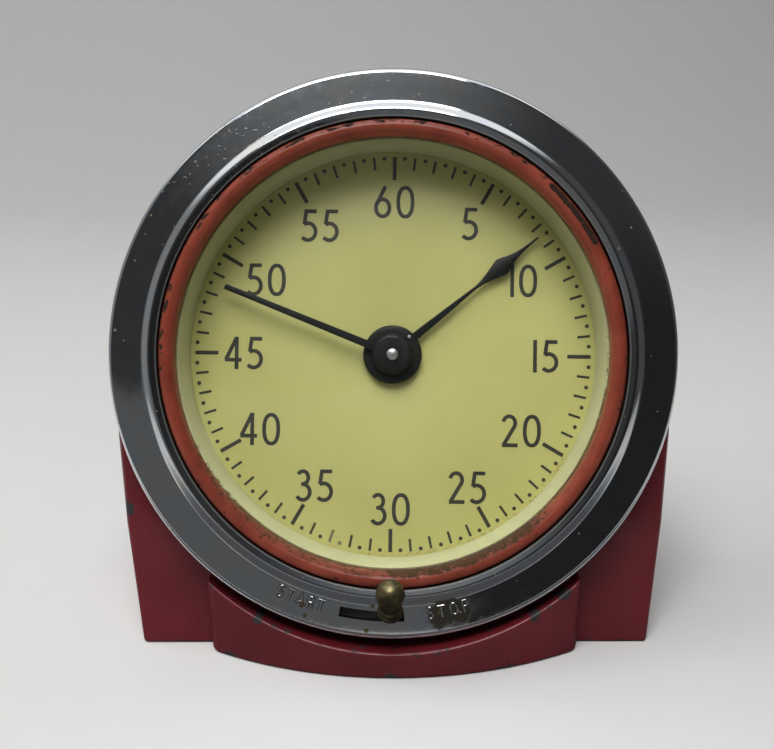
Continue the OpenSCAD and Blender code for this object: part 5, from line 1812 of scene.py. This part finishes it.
@dataclass
class Studio:
    """Pale floor and backdrop, soft light and the camera, in metres.

    Attributes:
        cloth: Colour of the floor.
        shade: Colour of the painted shadow on the floor before the timer, seen only in reflections.
        shade_at: Place and reach of that shade in millimetres.
        room: Colour of the room.
        room_left: Colour of its left, as reflections show it.
        room_right: Colour of its right.
        front: Colour of the dark part before the face.
        front_lifted: Colour of that part's top and left.
        ceiling: Colour of a pale patch high before the face.
        ceiling_at: Place, inner and outer reach of that patch in the face's directions.
        table: Colour low before the face, on the left.
        overhead: Brightness straight above, as reflections show it.
        aim: Point that the lamps are turned to.
    """

    cloth: Colour = (0.80, 0.80, 0.79, 1.0)
    shade: Colour = (0.09, 0.09, 0.095, 1.0)
    shade_at: Triple = (0.0, -130.0, 230.0)
    floor_half: float = 1.6
    floor_front: float = -1.2
    floor_back: float = 0.55
    bend_r: float = 0.5
    wall_h: float = 1.6
    camera_at: Triple = (0.001378, -0.17472, 0.123444)
    look: Triple = (-0.01335, 0.93869, -0.3445)
    top: Triple = (0.00569, 0.34459, 0.93874)
    lens: float = 40.96
    sensor: float = 36.0
    clip: float = 0.01
    key_at: Triple = (-0.06, -0.30, 0.80)
    key_size: float = 0.42
    key_power: float = 4.5
    fill_at: Triple = (-1.0, 0.1, 0.9)
    fill_size: float = 0.9
    fill_power: float = 4.2
    aim: Triple = (0.0, 0.0, 0.06)
    room_strength: float = 0.8
    room: Colour = (0.62, 0.62, 0.62, 1.0)
    room_left: Colour = (0.34, 0.345, 0.35, 1.0)
    room_right: Colour = (0.10, 0.10, 0.10, 1.0)
    front: Colour = (0.026, 0.026, 0.026, 1.0)
    front_lifted: Colour = (0.055, 0.055, 0.055, 1.0)
    front_reach: Point = (0.62, 0.94)
    ceiling: Colour = (0.27, 0.28, 0.29, 1.0)
    ceiling_at: tuple[float, ...] = (-0.07, 0.40, 0.05, 0.30)
    table: Colour = (0.150, 0.154, 0.158, 1.0)
    table_up: Point = (-0.035, -0.012)
    table_across: Point = (0.045, 0.095)
    overhead: Colour = (1.6, 1.6, 1.6, 1.0)
    overhead_up: Point = (0.64, 0.80)

    def build(self) -> None:
        """Builds the set."""
        scene = bpy.context.scene
        scene.view_settings.view_transform = "Standard"
        self.backdrop()
        self.lamp("key_light", self.key_at, self.key_size, self.key_power)
        self.lamp("fill_light", self.fill_at, self.fill_size, self.fill_power).visible_glossy = False
        self.world()
        self.camera()

    def backdrop(self) -> None:
        """Builds the floor with its curved backdrop and a painted shadow that only reflections show."""
        line = [(self.floor_front, 0.0), (self.floor_back, 0.0)]
        line += arc((self.floor_back, self.bend_r), (self.bend_r, self.bend_r), -90.0, 0.0, 24)[1:]
        line += [(self.floor_back + self.bend_r, self.wall_h)]
        made = bmesh.new()
        rows = [[made.verts.new((x, y, z)) for y, z in line] for x in (-self.floor_half, self.floor_half)]
        for i in range(len(line) - 1):
            made.faces.new((rows[0][i], rows[1][i], rows[1][i + 1], rows[0][i + 1]))
        for face in made.faces:
            face.smooth = True
        mesh = bpy.data.meshes.new("floor")
        made.to_mesh(mesh)
        made.free()
        sheet = MaterialSheet("pale_floor")
        row = sheet.row_millimetres()
        x, y, reach = self.shade_at
        # Painted shadow: glossy rays see the floor dark before the timer.
        glossy = sheet.add("ShaderNodeLightPath").outputs["Is Glossy Ray"]
        dark = sheet.times(glossy, sheet.spot(row, x, y, reach * 0.5, reach))
        sheet.set(Base_Color=sheet.mix(dark, self.cloth, self.shade), Roughness=0.9)
        sheet.bump(sheet.noise(row, 0.02, 3.0), 6.0, 0.25)
        mesh.materials.append(sheet.material)
        in_scene("floor", mesh)

    def lamp(self, name: str, spot: Triple, size: float, power: float) -> bpy.types.Object:
        """Adds a soft square lamp that points at the timer.

        Args:
            name: Name of the lamp.
            spot: Its place in metres.
            size: Its side in metres.
            power: Its power in watts.

        Returns:
            The lamp.
        """
        data = bpy.data.lights.new(name, "AREA")
        data.size = size
        data.energy = power
        made = in_scene(name, data)
        made.location = spot
        made.rotation_euler = (Vector(self.aim) - Vector(spot)).to_track_quat("-Z", "Y").to_euler()
        return made

    def world(self) -> None:
        """Pale room that is dark in front of the timer and on its right, so that chrome shows both."""
        made = bpy.data.worlds.new("room")
        made.use_nodes = True
        bpy.context.scene.world = made
        made.node_tree.nodes.clear()
        sheet = NodeSheet(made.node_tree)
        way = sheet.add("ShaderNodeTexCoord").outputs["Generated"]
        turned = {"Vector": way, "Rotation": tuple(FACE.turn.transposed().to_euler("XYZ"))}
        seen = sheet.add("ShaderNodeMapping", turned, vector_type="POINT").outputs[0]
        across, up, ahead = sheet.parts(seen)
        rays = sheet.add("ShaderNodeLightPath")
        glossy = rays.outputs["Is Glossy Ray"]
        left = sheet.mix(glossy, self.room, self.room_left)
        pale = sheet.mix(sheet.step(across, -0.5, 0.5), left, self.room_right)
        wide = sheet.spot(seen, 0.0, 0.0, *self.front_reach)
        inside = sheet.times(wide, sheet.step(ahead, 0.0, 0.3))
        lift = sheet.most(sheet.step(up, 0.05, 0.22), sheet.flip(sheet.step(across, -0.28, -0.05)))
        colour = sheet.mix(inside, pale, sheet.mix(lift, self.front, self.front_lifted))
        high = sheet.times(sheet.spot(seen, *self.ceiling_at), inside)
        colour = sheet.mix(high, colour, self.ceiling)
        low = sheet.flip(sheet.step(up, *self.table_up))
        low = sheet.times(low, sheet.flip(sheet.step(across, *self.table_across)), inside)
        colour = sheet.mix(low, colour, self.table)
        above = sheet.step(sheet.plus(up, sheet.times(across, -0.12)), *self.overhead_up)
        colour = sheet.mix(sheet.times(above, glossy), colour, self.overhead)
        colour = sheet.mix(rays.outputs["Is Camera Ray"], colour, self.room)
        back = sheet.add("ShaderNodeBackground", {"Color": colour, "Strength": self.room_strength})
        sheet.add("ShaderNodeOutputWorld", {"Surface": back.outputs[0]})

    def camera(self) -> None:
        """Adds the camera at the photograph's viewing angle."""
        data = bpy.data.cameras.new("camera")
        data.lens = self.lens
        data.sensor_width = self.sensor
        data.sensor_fit = "HORIZONTAL"
        data.clip_start = self.clip
        made = in_scene("camera", data)
        ahead, up = Vector(self.look).normalized(), Vector(self.top).normalized()
        right = ahead.cross(up).normalized()
        turn = Matrix((right, right.cross(ahead), -ahead)).transposed()
        made.matrix_world = Matrix.Translation(self.camera_at) @ turn.to_4x4()
        bpy.context.scene.camera = made


def main() -> None:
    """Builds the timer's pieces and the studio."""
    logging.basicConfig(level=logging.INFO, format="%(name)s: %(message)s")
    finishes = Finishes()
    for assembly in (CaseShell, Bezel, DialFace, Hands, LeverKnob, BackControls, Movement):
        LOG.info("building %s", assembly.__name__)
        assembly(finishes).build()
    Studio().build()


if __name__ == "__main__":
    main()
